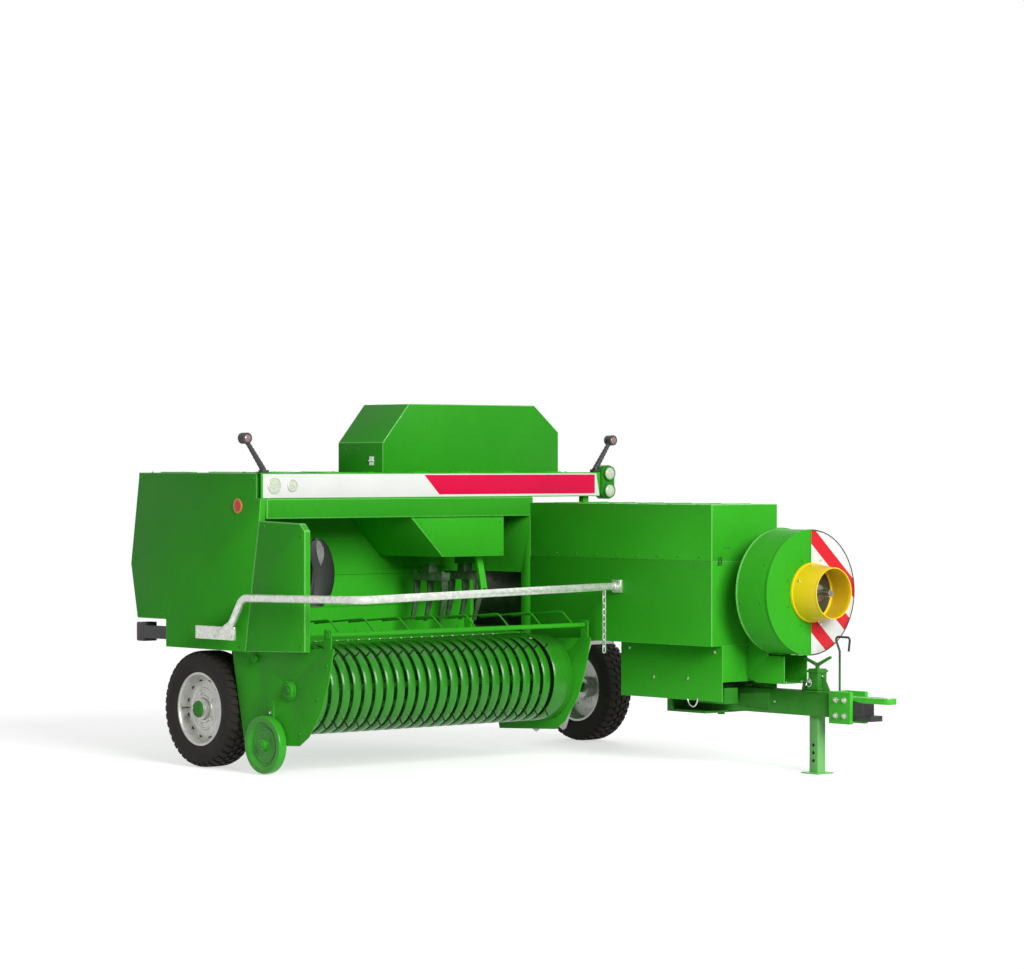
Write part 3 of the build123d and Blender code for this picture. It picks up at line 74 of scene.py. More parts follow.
class Graph:
    """Short calls for building one material's nodes."""

    def __init__(self, name):
        self.material = bpy.data.materials.new(name)
        self.material.use_nodes = True
        self.nodes = self.material.node_tree.nodes
        self.links = self.material.node_tree.links
        self.shader = self.nodes["Principled BSDF"]
        self.place = self.add("TexCoord").outputs["Object"]

    def add(self, kind, **values):
        node = self.nodes.new("ShaderNode" + kind)
        for key, value in values.items():
            if hasattr(node, key):
                setattr(node, key, value)
            else:
                node.inputs[key.replace("_", " ").title()].default_value = value
        return node

    def link(self, source, target):
        """Feeds an input from another node, or with a number or a colour."""
        if isinstance(source, (int, float)):
            target.default_value = source
        elif isinstance(source, tuple):
            target.default_value = (*source, 1.0)
        else:
            self.links.new(source, target)

    def stretched(self, scale):
        node = self.add("Mapping", scale=scale)
        self.link(self.place, node.inputs["Vector"])
        return node.outputs["Vector"]

    def noise(self, scale, detail=3.0, rough=0.55, place=None):
        node = self.add("TexNoise", scale=scale, detail=detail, roughness=rough)
        self.link(place or self.place, node.inputs["Vector"])
        return node.outputs["Fac"]

    def voronoi(self, scale, output="Distance"):
        node = self.add("TexVoronoi", scale=scale)
        self.link(self.place, node.inputs["Vector"])
        return node.outputs[output]

    def ramp(self, source, stops):
        node = self.add("ValToRGB")
        elements = node.color_ramp.elements
        while len(elements) < len(stops):
            elements.new(0.5)
        for element, (place, colour) in zip(elements, stops):
            element.position = place
            element.color = (*colour, 1.0)
        self.link(source, node.inputs["Fac"])
        return node.outputs["Color"]

    def grey(self, source, low, high, start=0.3, end=0.7):
        node = self.add("MapRange", from_min=start, from_max=end, to_min=low, to_max=high)
        self.link(source, node.inputs["Value"])
        return node.outputs["Result"]

    def mix(self, factor, first, second):
        node = self.add("Mix", data_type="RGBA")
        for socket, value in (("Factor", factor), ("A", first), ("B", second)):
            self.link(value, next(s for s in node.inputs if s.name == socket and s.enabled))
        return next(s for s in node.outputs if s.enabled)

    def maths(self, operation, first, second=0.0):
        node = self.add("Math", operation=operation)
        self.link(first, node.inputs[0])
        self.link(second, node.inputs[1])
        return node.outputs[0]

    def split(self, source):
        node = self.add("SeparateXYZ")
        self.link(source, node.inputs[0])
        return node.outputs

    def height(self):
        return self.split(self.place)["Z"]

    def upward(self):
        """1 on faces that look up, 0 on walls."""
        return self.split(self.add("NewGeometry").outputs["Normal"])["Z"]

    def bump(self, parts):
        """Stacked bumps, each (height source, strength, distance in metres)."""
        normal = None
        for source, strength, distance in parts:
            node = self.add("Bump", strength=strength, distance=distance)
            self.link(source, node.inputs["Height"])
            if normal:
                self.link(normal, node.inputs["Normal"])
            normal = node.outputs["Normal"]
        self.link(normal, self.shader.inputs["Normal"])

    def colour(self, source):
        self.link(source, self.shader.inputs["Base Color"])

    def rough(self, source):
        self.link(source, self.shader.inputs["Roughness"])

    def plain(self, **values):
        for key, value in values.items():
            self.shader.inputs[key.replace("_", " ")].default_value = value


def paint(name, light, dark, dust=0.12, gloss=0.42, shine=0.22):
    """Sprayed sheet metal: uneven film, orange peel, slow panel waves, dust low down and on ledges."""
    g = Graph(name)
    film = g.ramp(g.noise(1.7, 4.0), [(0.3, dark), (0.7, light)])
    fine = g.noise(38, 3.0)
    film = g.mix(g.grey(fine, 0.0, 0.22), film, tuple(c * 0.82 for c in dark))
    ledges = g.grey(g.upward(), 0.0, 1.0, 0.4, 1.0)
    low = g.grey(g.height(), 1.0, 0.0, 0.05, 0.75)
    cloud = g.grey(g.noise(9, 5.0, 0.65), 0.0, dust, 0.35, 0.75)
    grime = g.maths("MULTIPLY", g.maths("MAXIMUM", ledges, low), cloud)
    g.colour(g.mix(grime, film, (0.24, 0.36, 0.16)))
    film_gloss = g.grey(g.noise(60, 3.0), gloss - 0.05, gloss + 0.07)
    g.rough(g.maths("ADD", film_gloss, g.maths("MULTIPLY", grime, 0.6)))
    g.bump([(g.noise(2.2, 1.0), 0.1, 0.006), (g.noise(420, 2.0), 0.05, 0.0006)])
    g.plain(Specular_IOR_Level=shine)
    return g.material


def banded(name, ground, films):
    """Painted sheet with coloured films, each laid where its mask of the place gives 1."""
    g = Graph(name)
    place = g.split(g.place)
    cloud = g.noise(4, 4.0)
    tone = g.ramp(cloud, [(0.3, tuple(c * 0.92 for c in ground)), (0.7, ground)])
    edges = []
    for mask, film in films:
        shape = mask(g, place["X"], place["Z"])
        tone = g.mix(shape, tone, g.ramp(cloud, [(0.3, tuple(c * 0.92 for c in film)), (0.7, film)]))
        edges.append((shape, 0.2, 0.0004))
    g.colour(tone)
    g.rough(g.grey(g.noise(50, 3.0), 0.3, 0.42))
    g.bump([(g.noise(300, 2.0), 0.04, 0.0005)] + edges)
    g.plain(Specular_IOR_Level=0.2)
    return g.material


def threaded(name, tone, pitch=2.5):
    """Steel with a screw thread round a vertical bar."""
    g = Graph(name)
    turns = g.maths("SINE", g.maths("MULTIPLY", g.height(), 2000 * pi / pitch))
    g.colour(g.ramp(g.noise(20, 4.0), [(0.3, tuple(c * 0.7 for c in tone)), (0.7, tone)]))
    g.rough(0.35)
    g.bump([(turns, 0.8, 0.0012)])
    g.plain(Metallic=0.9)
    return g.material


def bare_metal(name, light, dark, gloss=0.32, metallic=1.0, grain=(3, 3, 140)):
    """Worked steel with drawn lines, stains and darker spots."""
    g = Graph(name)
    lines = g.noise(9, 3.0, place=g.stretched(grain))
    stain = g.noise(14, 5.0, 0.6)
    tone = g.ramp(stain, [(0.32, dark), (0.68, light)])
    g.colour(g.mix(g.grey(lines, 0.0, 0.35), tone, tuple(c * 0.7 for c in dark)))
    g.rough(g.grey(stain, gloss - 0.07, gloss + 0.15))
    g.bump([(lines, 0.08, 0.0005), (stain, 0.06, 0.001)])
    g.plain(Metallic=metallic)
    return g.material


def galvanised(name):
    """Zinc with its crystal flowers, a little dulled."""
    g = Graph(name)
    flowers = g.voronoi(55, "Color")
    tone = g.ramp(flowers, [(0.2, (0.66, 0.68, 0.62)), (0.8, (0.88, 0.9, 0.84))])
    cloud = g.noise(7, 4.0)
    g.colour(g.mix(g.grey(cloud, 0.0, 0.4), tone, (0.76, 0.79, 0.73)))
    g.rough(g.grey(flowers, 0.34, 0.5, 0.1, 0.9))
    g.bump([(flowers, 0.05, 0.0006), (cloud, 0.08, 0.002)])
    g.plain(Metallic=0.65)
    return g.material


def rubber(name, dust=0.5):
    """Tyre rubber: fine pitting, grey bloom and dry soil in the low places."""
    g = Graph(name)
    grain = g.noise(240, 3.0)
    cloud = g.noise(6, 5.0, 0.6)
    tone = g.ramp(grain, [(0.3, (0.014, 0.012, 0.011)), (0.7, (0.028, 0.025, 0.023))])
    g.colour(g.mix(g.grey(cloud, 0.0, dust * 0.25), tone, (0.13, 0.11, 0.09)))
    g.rough(g.grey(cloud, 0.62, 0.82))
    g.bump([(grain, 0.12, 0.0008), (cloud, 0.08, 0.003)])
    g.plain(Specular_IOR_Level=0.2)
    return g.material


def moulded(name, light, dark, gloss=0.4):
    """Moulded plastic with a fine grain and slow tone changes."""
    g = Graph(name)
    grain = g.noise(320, 2.0)
    cloud = g.noise(5, 3.0)
    g.colour(g.ramp(cloud, [(0.3, dark), (0.7, light)]))
    g.rough(g.grey(grain, gloss - 0.05, gloss + 0.08))
    g.bump([(grain, 0.1, 0.0005), (cloud, 0.05, 0.002)])
    return g.material


def lens(name, tint, gloss=0.12):
    """A clear or coloured lamp lens with moulded prisms behind a smooth face."""
    g = Graph(name)
    prisms = g.voronoi(120)
    g.colour(g.ramp(prisms, [(0.0, tuple(c * 0.6 for c in tint)), (0.6, tint)]))
    g.rough(g.grey(g.noise(30, 2.0), gloss, gloss + 0.08))
    g.bump([(prisms, 0.5, 0.0015)])
    g.plain(Coat_Weight=0.4, Coat_Roughness=0.05, Specular_IOR_Level=0.3)
    return g.material


GREEN = paint("green_paint", (0.044, 0.455, 0.02), (0.035, 0.39, 0.015), gloss=0.45, shine=0.1)
GREEN_LOW = paint("green_paint_chassis", (0.028, 0.265, 0.016), (0.019, 0.205, 0.011), dust=0.3, gloss=0.5)
GREEN_BRIGHT = paint("green_paint_new", (0.068, 0.6, 0.036), (0.056, 0.52, 0.028), dust=0.1, gloss=0.34)
# Paler, glossier green for the rounded edges: a painted highlight along every bevel.
GREEN_EDGE_HIGHLIGHT = paint("green_paint_edge_highlight", (0.14, 0.6, 0.09), (0.11, 0.54, 0.07), gloss=0.26, shine=0.5)
GREEN_GLOSS = paint("green_gloss", (0.036, 0.42, 0.016), (0.03, 0.36, 0.012), gloss=0.25, shine=0.3)
GREEN_BAND = paint("green_band", (0.024, 0.27, 0.01), (0.019, 0.215, 0.008), gloss=0.2, shine=0.35)
# A darker copy of the green for the hood and the header beam: painted shade on these well-lit faces.
GREEN_HOOD_SHADED = paint("green_paint_hood_shaded", (0.037, 0.37, 0.018), (0.029, 0.315, 0.014), gloss=0.45, shine=0.1)
GREEN_PALE = paint("green_paint_pale", (0.21, 0.6, 0.18), (0.175, 0.52, 0.15), dust=0.1, gloss=0.34)
# A darker green for parts inside and behind others: painted shade.
GREEN_INSIDE_SHADE = paint("green_paint_inside_shade", (0.018, 0.24, 0.012), (0.012, 0.17, 0.009), dust=0.4, gloss=0.6)
SILVER = bare_metal("silver_paint", (0.74, 0.74, 0.7), (0.56, 0.56, 0.53), 0.3, 0.5, (6, 6, 6))
YELLOW = moulded("yellow_plastic", (1.0, 0.72, 0.012), (0.96, 0.64, 0.009), 0.36)
BLACK = moulded("black_plastic", (0.05, 0.05, 0.05), (0.032, 0.032, 0.032), 0.5)
# Near black: painted shade in the plugs standing for holes, and the own black of the outer fork.
BLACK_AND_HOLE_SHADE = moulded("black_and_hole_shade", (0.011, 0.016, 0.01), (0.007, 0.01, 0.007), 0.6)
RUBBER = rubber("tyre_rubber")
STEEL = bare_metal("worked_steel", (0.6, 0.6, 0.57), (0.4, 0.39, 0.36))
BRIGHT = bare_metal("zinc_plated", (0.76, 0.75, 0.7), (0.58, 0.57, 0.53), 0.26)
WORN = bare_metal("worn_green_steel", (0.125, 0.21, 0.115), (0.05, 0.09, 0.045), 0.5, 0.5, (6, 6, 6))
CAST = bare_metal("cast_iron", (0.3, 0.3, 0.29), (0.18, 0.18, 0.175), 0.55, 0.6, (6, 6, 6))
BLACKENED = bare_metal("blackened_steel", (0.06, 0.062, 0.06), (0.034, 0.034, 0.034), 0.42, 0.5)
THREAD = threaded("screw_thread", (0.42, 0.41, 0.38))
ZINC = galvanised("galvanised_pipe")
CLEAR = lens("clear_lens", (0.66, 0.74, 0.58))
SMOKED = lens("smoked_lens", (0.34, 0.2, 0.21))
RED_LENS = lens("red_lens", (0.8, 0.016, 0.006))
AMBER = lens("amber_lens", (0.88, 0.3, 0.015))


def field(g, tests):
    """1 where every (operation, source, value) test holds."""
    inside = 1.0
    for test, source, value in tests:
        inside = g.maths("MULTIPLY", inside, g.maths(test, source, value))
    return inside


def white_field(g, x, z):
    """The white film on the strip, inside a narrow green edge."""
    right = g.maths("ADD", x, g.maths("MULTIPLY", g.maths("SUBTRACT", z, 1.54), 0.2))
    return field(g, [("GREATER_THAN", x, at(-2268, 0, 0).x), ("LESS_THAN", right, at(166, 0, 0).x),
                     ("LESS_THAN", z, 1.603), ("GREATER_THAN", z, 1.476)])


def crimson_band(g, x, z):
    """The band on the strip: slanted left end, plain right end, a white border all round."""
    slant = g.maths("ADD", x, g.maths("SUBTRACT", z, 1.497))
    return field(g, [("GREATER_THAN", slant, at(-1045, 0, 0).x), ("LESS_THAN", x, at(142, 0, 0).x),
                     ("LESS_THAN", z, 1.597), ("GREATER_THAN", z, 1.488)])


def diagonals(g, x, z):
    """Warning stripes that fall to the machine's left."""
    run = g.maths("ADD", z, g.maths("MULTIPLY", g.maths("SUBTRACT", x, ZERO.x), 0.9))
    turn = g.maths("FRACT", g.maths("DIVIDE", g.maths("SUBTRACT", run, 0.755), 0.238))
    return g.maths("LESS_THAN", turn, 0.42)


FILMS = [(white_field, (0.84, 0.84, 0.82)), (crimson_band, (0.78, 0.003, 0.064))]
STRIP = banded("strip_paint", (0.044, 0.455, 0.02), FILMS)
STRIPED = banded("striped_film", (0.84, 0.84, 0.82), [(diagonals, (0.74, 0.018, 0.028))])


# Nodes of the frame


WELD_GAP = 0.00002
SHARP = radians(32)  # edges over this are rounded
CREASE = radians(34)  # and over this not shaded smooth


def rounding(obj, width, edged=False):
    """Welds the facets and rounds the sharp edges; where edged, the rounds get the second material, a paler
    painted highlight.
    """
    obj.modifiers.new("weld", "WELD").merge_threshold = WELD_GAP
    if width:
        bevel = obj.modifiers.new("bevel", "BEVEL")
        bevel.width = width
        bevel.segments = 2
        bevel.limit_method = "ANGLE"
        bevel.angle_limit = SHARP
        bevel.harden_normals = True
        bevel.miter_outer = "MITER_ARC"
        if edged:
            bevel.material = 1


def dress(node, material, width):
    """Gives a node its material and rounding; the rounded edges of painted sheet get a paler, glossier green,
    a painted highlight.
    """
    obj = NODES[node]
    obj.data.materials.clear()
    obj.data.materials.append(material)
    edged = material in (GREEN, GREEN_HOOD_SHADED)
    if edged:
        obj.data.materials.append(GREEN_EDGE_HIGHLIGHT)
    for face in obj.data.polygons:
        face.use_smooth = True
    rounding(obj, width, edged)


FINISHES = (
    # material, rounding in metres, nodes
    (GREEN, 0.001, "windguard"),
    (GREEN, 0.0015, "chamber_left_wall chamber_right_wall chamber_top lower_skirt cover_pedestal roof"),
    (GREEN, 0.0015, "trough twine_box pickup_plates"),
    (GREEN, 0.0025, "twine_door"),
    (GREEN, 0.004, "flywheel_cover feeder_housing"),
    (GREEN, 0.005, "front_case"),
    (GREEN, 0.006, "side_cover drive_guard"),
    (GREEN, 0.018, "drive_cover"),
    # The hood and the header beam take the darker copy of the green, painted shade.
    (GREEN_HOOD_SHADED, 0.005, "feeder_hood"),
    (GREEN_HOOD_SHADED, 0.006, "header_beam"),
    (GREEN_LOW, 0.0015, "chamber_floor tension_rails bale_chute"),
    (GREEN_LOW, 0.002, "drawbar_fittings drawbar_carrier"),
    (GREEN_LOW, 0.003, "tension_frames"),
    (GREEN_LOW, 0.004, "axle"),
    (GREEN_LOW, 0.006, "drawbar"),
    (GREEN_BRIGHT, 0.004, "hitch"),
    (GREEN_PALE, 0.003, "jack_leg"),
    (GREEN_GLOSS, 0.004, "gauge_wheel"),
    (GREEN_BAND, 0.0015, "strippers"),
    (STRIP, 0.0015, "header_strip"),
    (STRIPED, 0.0005, "striped_board"),
    (YELLOW, 0.0012, "input_guard"),
    (RUBBER, 0.0, "tyre_right tyre_left"),
    (SILVER, 0.0015, "rim_right rim_left"),
    (ZINC, 0.0015, "guard_rail"),
    (BLACK, 0.003, "front_lights"),
    (BLACK, 0.004, "tail_lamps"),
    (BLACKENED, 0.0008, "tine_reel"),
    (CAST, 0.002, "knotter"),
    (CAST, 0.003, "flywheel"),
    (CAST, 0.008, "gearbox"),
    (STEEL, 0.0008, "star_wheel"),
    (STEEL, 0.0015, "needles"),
    (STEEL, 0.003, "plunger"),
    (WORN, 0.002, "feeder_forks"),
)
for material, width, nodes in FINISHES:
    for node in nodes.split():
        dress(node, material, width)


def repaint(node, material, inside):
    """Gives the faces of a node whose middle passes a test a second material."""
    data = NODES[node].data
    data.materials.append(material)
    for face in data.polygons:
        if inside((face.center - ZERO) * 1000):
            face.material_index = len(data.materials) - 1


repaint("front_lights", GREEN_LOW, lambda p: p.x > 181 and p.z < 1655)
repaint("feeder_forks", BLACKENED, lambda p: p.x < -1300)
# The reel's inner parts between the bands get the darker green, painted shade.
repaint("tine_reel", GREEN_INSIDE_SHADE, lambda p: hypot(p.y - REEL_Y, p.z - REEL_Z) < 176)
repaint("drawbar_fittings", BLACKENED, lambda p: p.x > 20 and p.z > 520)
repaint("hitch", BLACKENED, lambda p: abs(p.x) < 46 and p.z < 385)
_inside = (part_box("chamber_left_wall")[0] - ZERO).x * 1000
repaint("chamber_left_wall", STEEL, lambda p: p.x < _inside + 0.5)


# Shapes for the added pieces


RIGHT, LEFT = (-1, 0, 0), (1, 0, 0)
AHEAD, BACK = (0, -1, 0), (0, 1, 0)
DOWN, UP = (0, 0, -1), (0, 0, 1)


def rounds(count, step=0.0, start=0.0):
    """The angles of one full turn in equal steps."""
    return [2 * pi * (k + step) / count + start for k in range(count)]


def skin(rows, sides, closed=False):
    """Quads between rows of points, each row a closed loop."""
    faces = []
    for i in range(rows if closed else rows - 1):
        j = (i + 1) % rows
        for k in range(sides):
            n = (k + 1) % sides
            faces.append((i * sides + k, i * sides + n, j * sides + n, j * sides + k))
    return faces


def ends(rows, sides):
    """The flat faces on the first and the last row."""
    return [tuple(range(sides))[::-1], tuple(range((rows - 1) * sides, rows * sides))]


def across(axis):
    """The unit axis and two directions square to it."""
    along = Vector(axis).normalized()
    side = along.orthogonal().normalized()
    return along, side, along.cross(side)


def new_object(name, data):
    obj = bpy.data.objects.new(name, data)
    bpy.context.scene.collection.objects.link(obj)
    return obj


class Form:
    """One added piece: forms in millimetres, each with its own material, that ride on one body."""

    def __init__(self, name, body):
        self.name, self.body = name, body
        self.points, self.faces, self.tones, self.smooth = [], [], [], []
        self.materials = []

    def add(self, points, faces, material, smooth=True):
        if material not in self.materials:
            self.materials.append(material)
        base = len(self.points)
        self.points += [at(*point) for point in points]
        self.faces += [[base + i for i in face] for face in faces]
        self.tones += [self.materials.index(material)] * len(faces)
        self.smooth += [smooth] * len(faces)

    def plate(self, axis, outline, start, end, material):
        """A plate across axis 0, 1 or 2, cut to an outline in the other two."""
        count = len(outline)
        points = []
        for level in (start, end):
            for a, b in outline:
                point = [a, b]
                point.insert(axis, level)
                points.append(point)
        self.add(points, ends(2, count) + skin(2, count), material, False)

    def block(self, low, high, material):
        outline = [(low[1], low[2]), (high[1], low[2]), (high[1], high[2]), (low[1], high[2])]
        self.plate(0, outline, low[0], high[0], material)

    def ring(self, centre, axis, profile, material, sides=24):
        """A hollow body of revolution: the section from (distance, radius) pairs closes on itself."""
        self.turned(centre, axis, profile + profile[:1], material, sides)

    def turned(self, centre, axis, profile, material, sides=24, smooth=True, start=0.0):
        """A body of revolution from (distance along the axis, radius) pairs, with flat ends."""
        along, side, other = across(axis)
        origin = Vector(centre)
        points = []
        for distance, radius in profile:
            for turn in rounds(sides, start=start):
                arm = side * cos(turn) + other * sin(turn)
                points.append(origin + along * distance + arm * max(radius, 0.01))
        faces = skin(len(profile), sides)
        if profile[0] != profile[-1]:
            faces += ends(len(profile), sides)
        self.add(points, faces, material, smooth)

    def rod(self, start, end, radius, material, sides=16, chamfer=1.2):
        run = Vector(end) - Vector(start)
        size, inner = run.length, radius - chamfer
        profile = [(0, inner), (chamfer, radius), (size - chamfer, radius), (size, inner)]
        self.turned(start, run, profile, material, sides)

    def tube(self, path, radius, material, sides=10, closed=False):
        """A round wire along a path of points."""
        path = [Vector(point) for point in path]
        count = len(path)
        points, normal = [], None
        for i, point in enumerate(path):
            ahead = path[(i + 1) % count] if closed or i < count - 1 else point
            behind = path[i - 1] if closed or i else point
            run = (ahead - behind).normalized()
            normal = run.orthogonal() if normal is None else normal - run * normal.dot(run)
            normal.normalize()
            other = run.cross(normal)
            for turn in rounds(sides):
                points.append(point + (normal * cos(turn) + other * sin(turn)) * radius)
        faces = skin(count, sides, closed) + ([] if closed else ends(count, sides))
        self.add(points, faces, material)

    def bolt(self, place, axis, material, size=8.0, turn=0.3):
        """Washer and chamfered hexagon head; size is the distance across the flats, halved."""
        washer = [(-0.5, size * 1.25), (1.2, size * 1.25), (1.7, size * 1.17), (1.7, size * 0.8)]
        self.turned(place, axis, washer, material, 18)
        corner, rim, top = size * 1.155, 1.6 + size * 0.62, 1.6 + size * 0.78
        head = [(1.6, corner), (rim, corner), (top, corner * 0.86), (top, 0.1)]
        self.turned(place, axis, head, material, 6, smooth=False, start=turn)

    def rivet(self, place, axis, material, size=6.0):
        dome = [(-0.5, size), (size * 0.25, size * 0.94), (size * 0.5, size * 0.7), (size * 0.62, size * 0.3)]
        self.turned(place, axis, dome, material, 14)

    def bead(self, start, end, material, radius=4.5):
        """A weld bead: a thin seam of overlapping ripples."""
        first, run = Vector(start), Vector(end) - Vector(start)
        steps = max(4, int(run.length / 5))
        profile = [(run.length * i / steps, radius * (0.72 + 0.28 * (i % 2))) for i in range(steps + 1)]
        self.turned(first, run, profile, material, 8)

    def spring(self, start, end, radius, wire, turns, material):
        first, run = Vector(start), Vector(end) - Vector(start)
        _, side, other = across(run)
        steps = turns * 14
        path = []
        for i in range(steps + 1):
            turn = 2 * pi * i / 14
            path.append(first + run * (i / steps) + (side * cos(turn) + other * sin(turn)) * radius)
        self.tube(path, wire, material, 6)

    def make(self, soften=0.0):
        """Makes the mesh, rounded by soften metres, and lets it ride on its body."""
        mesh = bpy.data.meshes.new(self.name)
        mesh.from_pydata(self.points, [], self.faces)
        for material in self.materials:
            mesh.materials.append(material)
        for face, tone, smooth in zip(mesh.polygons, self.tones, self.smooth):
            face.material_index = tone
            face.use_smooth = smooth
        work = bmesh.new()
        work.from_mesh(mesh)
        bmesh.ops.recalc_face_normals(work, faces=work.faces)
        work.to_mesh(mesh)
        work.free()
        mesh.set_sharp_from_angle(angle=CREASE)
        piece = new_object(self.name, mesh)
        if soften:
            rounding(piece, soften)
        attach(piece, self.body)
        return piece


def added(body, soften=0.0):
    """Makes a piece at once: the function fills its form and gives it its name."""
    def build(fill):
        form = Form(fill.__name__, body)
        fill(form)
        form.make(soften)
        return fill

    return build


# Tyres


def tyre_piece(hand, middle):
    """A road tyre: rounded carcass with rim guards, skewed shoulder lugs and broken centre ribs."""
    form = Form("road_tyre_" + hand, "wheel_" + hand)
    half = [(79.5, 202), (88, 212), (94, 228), (96.6, 246), (97.2, 250), (97.2, 256), (96.4, 262), (94, 280),
            (88, 295), (76, 303.5), (55, 307), (28, 308.6), (0, 309)]
    profile = half + [(-dx, r) for dx, r in half[-2::-1]]
    form.ring((middle, 0, HUB_Z), LEFT, profile + [(-60, 199), (60, 199)], RUBBER, 96)

    def lug(stations):
        """A tread block through (offset, low, top, angle, half width in degrees) stations."""
        points, faces = [], []
        for dx, low, top, mid, half_turn in stations:
            for radius, edge in ((low, -1), (top, -0.86), (top, 0.86), (low, 1)):
                turn = radians(mid + edge * half_turn)
                points.append((middle + dx, radius * sin(turn), HUB_Z + radius * cos(turn)))
        for i in range(len(stations) - 1):
            for k in range(3):
                faces.append((i * 4 + k, i * 4 + k + 1, i * 4 + k + 5, i * 4 + k + 4))
        faces += [(0, 1, 2, 3), tuple(range(len(points) - 4, len(points)))]
        form.add(points, faces, RUBBER, False)

    count = 42
    for k in range(count):
        turn = 360 * k / count
        for side in (-1, 1):
            skew = turn + (0 if side > 0 else 180 / count)
            lug([(side * 40, 305, 318.4, skew, 2.5), (side * 60, 304, 317.2, skew + 1.0, 2.9),
                 (side * 82, 299, 309.8, skew + 2.2, 3.1), (side * 92, 284, 294, skew + 2.8, 2.6),
                 (side * 94.6, 268, 270, skew + 2.8, 1.4)])
            lug([(side * 5, 306, 318.8, skew + 2.6, 2.6), (side * 19, 306, 318.7, skew + 3.6, 2.9),
                 (side * 34, 305, 318.5, skew + 4.4, 2.6)])
    piece, node = form.make(), "tyre_" + hand
    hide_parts(node)


for hand, middle, side in WHEELS:
    tyre_piece(hand, middle)


def wheel_details(hand, middle, side):
    """Wheel nuts, hub cap, pressed rings, valve, and dark discs for the round holes of the disc, painted
    shade.
    """
    form = Form("wheel_details_" + hand, "wheel_" + hand)
    for turn in rounds(5, start=0.3):
        y, z = 88 * sin(turn), HUB_Z + 88 * cos(turn)
        form.bolt((middle + side * 46, y, z), (side, 0, 0), BRIGHT, 9.5, turn)
        form.rod((middle + side * 46, y, z), (middle + side * 62, y, z), 5.5, BRIGHT, 12)
    cap = [(0, 46), (3, 46), (8, 42), (11, 34), (12.5, 18), (13, 2)]
    form.turned((middle + side * 84, 0, HUB_Z), (side, 0, 0), cap, GREEN_LOW, 32)
    ring = [(0, 118), (5, 114), (5, 106), (0, 102)]
    form.ring((middle + side * 45.6, 0, HUB_Z), (side, 0, 0), ring, SILVER, 48)
    seat = [(0, 60), (7, 62), (7, 74), (0, 78)]
    form.ring((middle + side * 45.6, 0, HUB_Z), (side, 0, 0), seat, SILVER, 40)
    form.rod((middle + side * 40, 150, HUB_Z), (middle + side * 78, 158, HUB_Z), 4.5, BLACK, 10)
    # Dark discs stand for the holes: painted shade.
    hole_shade = [(0, 13), (1.5, 13), (1.5, 10), (-1, 9)]
    for turn in rounds(12, 0.5):
        y, z = sin(turn), cos(turn)
        place = (middle + side * 35, 152 * y, HUB_Z + 152 * z)
        form.turned(place, (side, -0.5 * y, -0.5 * z), hole_shade, BLACK_AND_HOLE_SHADE, 14)
    form.make()


for hand, middle, side in WHEELS:
    wheel_details(hand, middle, side)


# Front, case and drawbar


@added("frame", 0.0012)
def front_details(form):
    """Fasteners, hinges, latches, ribs and welds of the front case and its skirt."""
    # Fasteners along the seam of the drive cover, the skirt's bolts and its wire hook
    for y in range(-1960, -640, 165):
        for x, side in CASE_SIDES:
            form.bolt((x, y, 1156), (side, 0, 0), GREEN, 4.5)
    for x in (-330, -200, -10, 118):
        form.bolt((x, CASE_FRONT, 1156), AHEAD, GREEN, 4.5)
    for y, z in ((-1514, 486), (-1782, 490), (-1320, 640), (-1990, 640)):
        form.bolt((-278, y, z), RIGHT, BRIGHT, 7)
        form.bolt((CASE_LEFT, y, z), LEFT, BRIGHT, 7)
    for x in (-262, -244, -226):
        form.rivet((x, CASE_FRONT, 1204), AHEAD, BLACKENED, 4)
    hook = ((-1862, 384), (-1858, 362), (-1846, 344), (-1828, 336), (-1808, 342), (-1792, 358), (-1784, 376))
    form.tube([(-282, y, z) for y, z in hook], 4, BRIGHT)
    # Hinges and draw latches of the drive cover
    for y in (-1800, -850):
        form.rod((150, y - 50, 1134), (150, y + 50, 1134), 7, GREEN)
        for low in (1140, 1088):
            form.block((CASE_LEFT, y - 45, low), (149, y + 45, low + 40), GREEN)
    for x in (-300, 90):
        form.block((x - 14, -2054, 1110), (x + 14, CASE_FRONT, 1126), GREEN_LOW)
        form.tube([(x - 9, -2055, 1120), (x - 9, -2056, 1150), (x, -2056, 1156), (x + 9, -2056, 1150),
                   (x + 9, -2055, 1120)], 2.2, BLACKENED, 8)
    # Pressed ribs on the top of the drive cover
    for y in range(-1900, -700, 230):
        form.block((-300, y, 1437), (88, y + 34, 1441), GREEN)
    # Gusset welds of the pedestal
    for x in (-90, 90):
        form.bead((x, -2051, 510), (x, -2051, 700), GREEN_LOW)


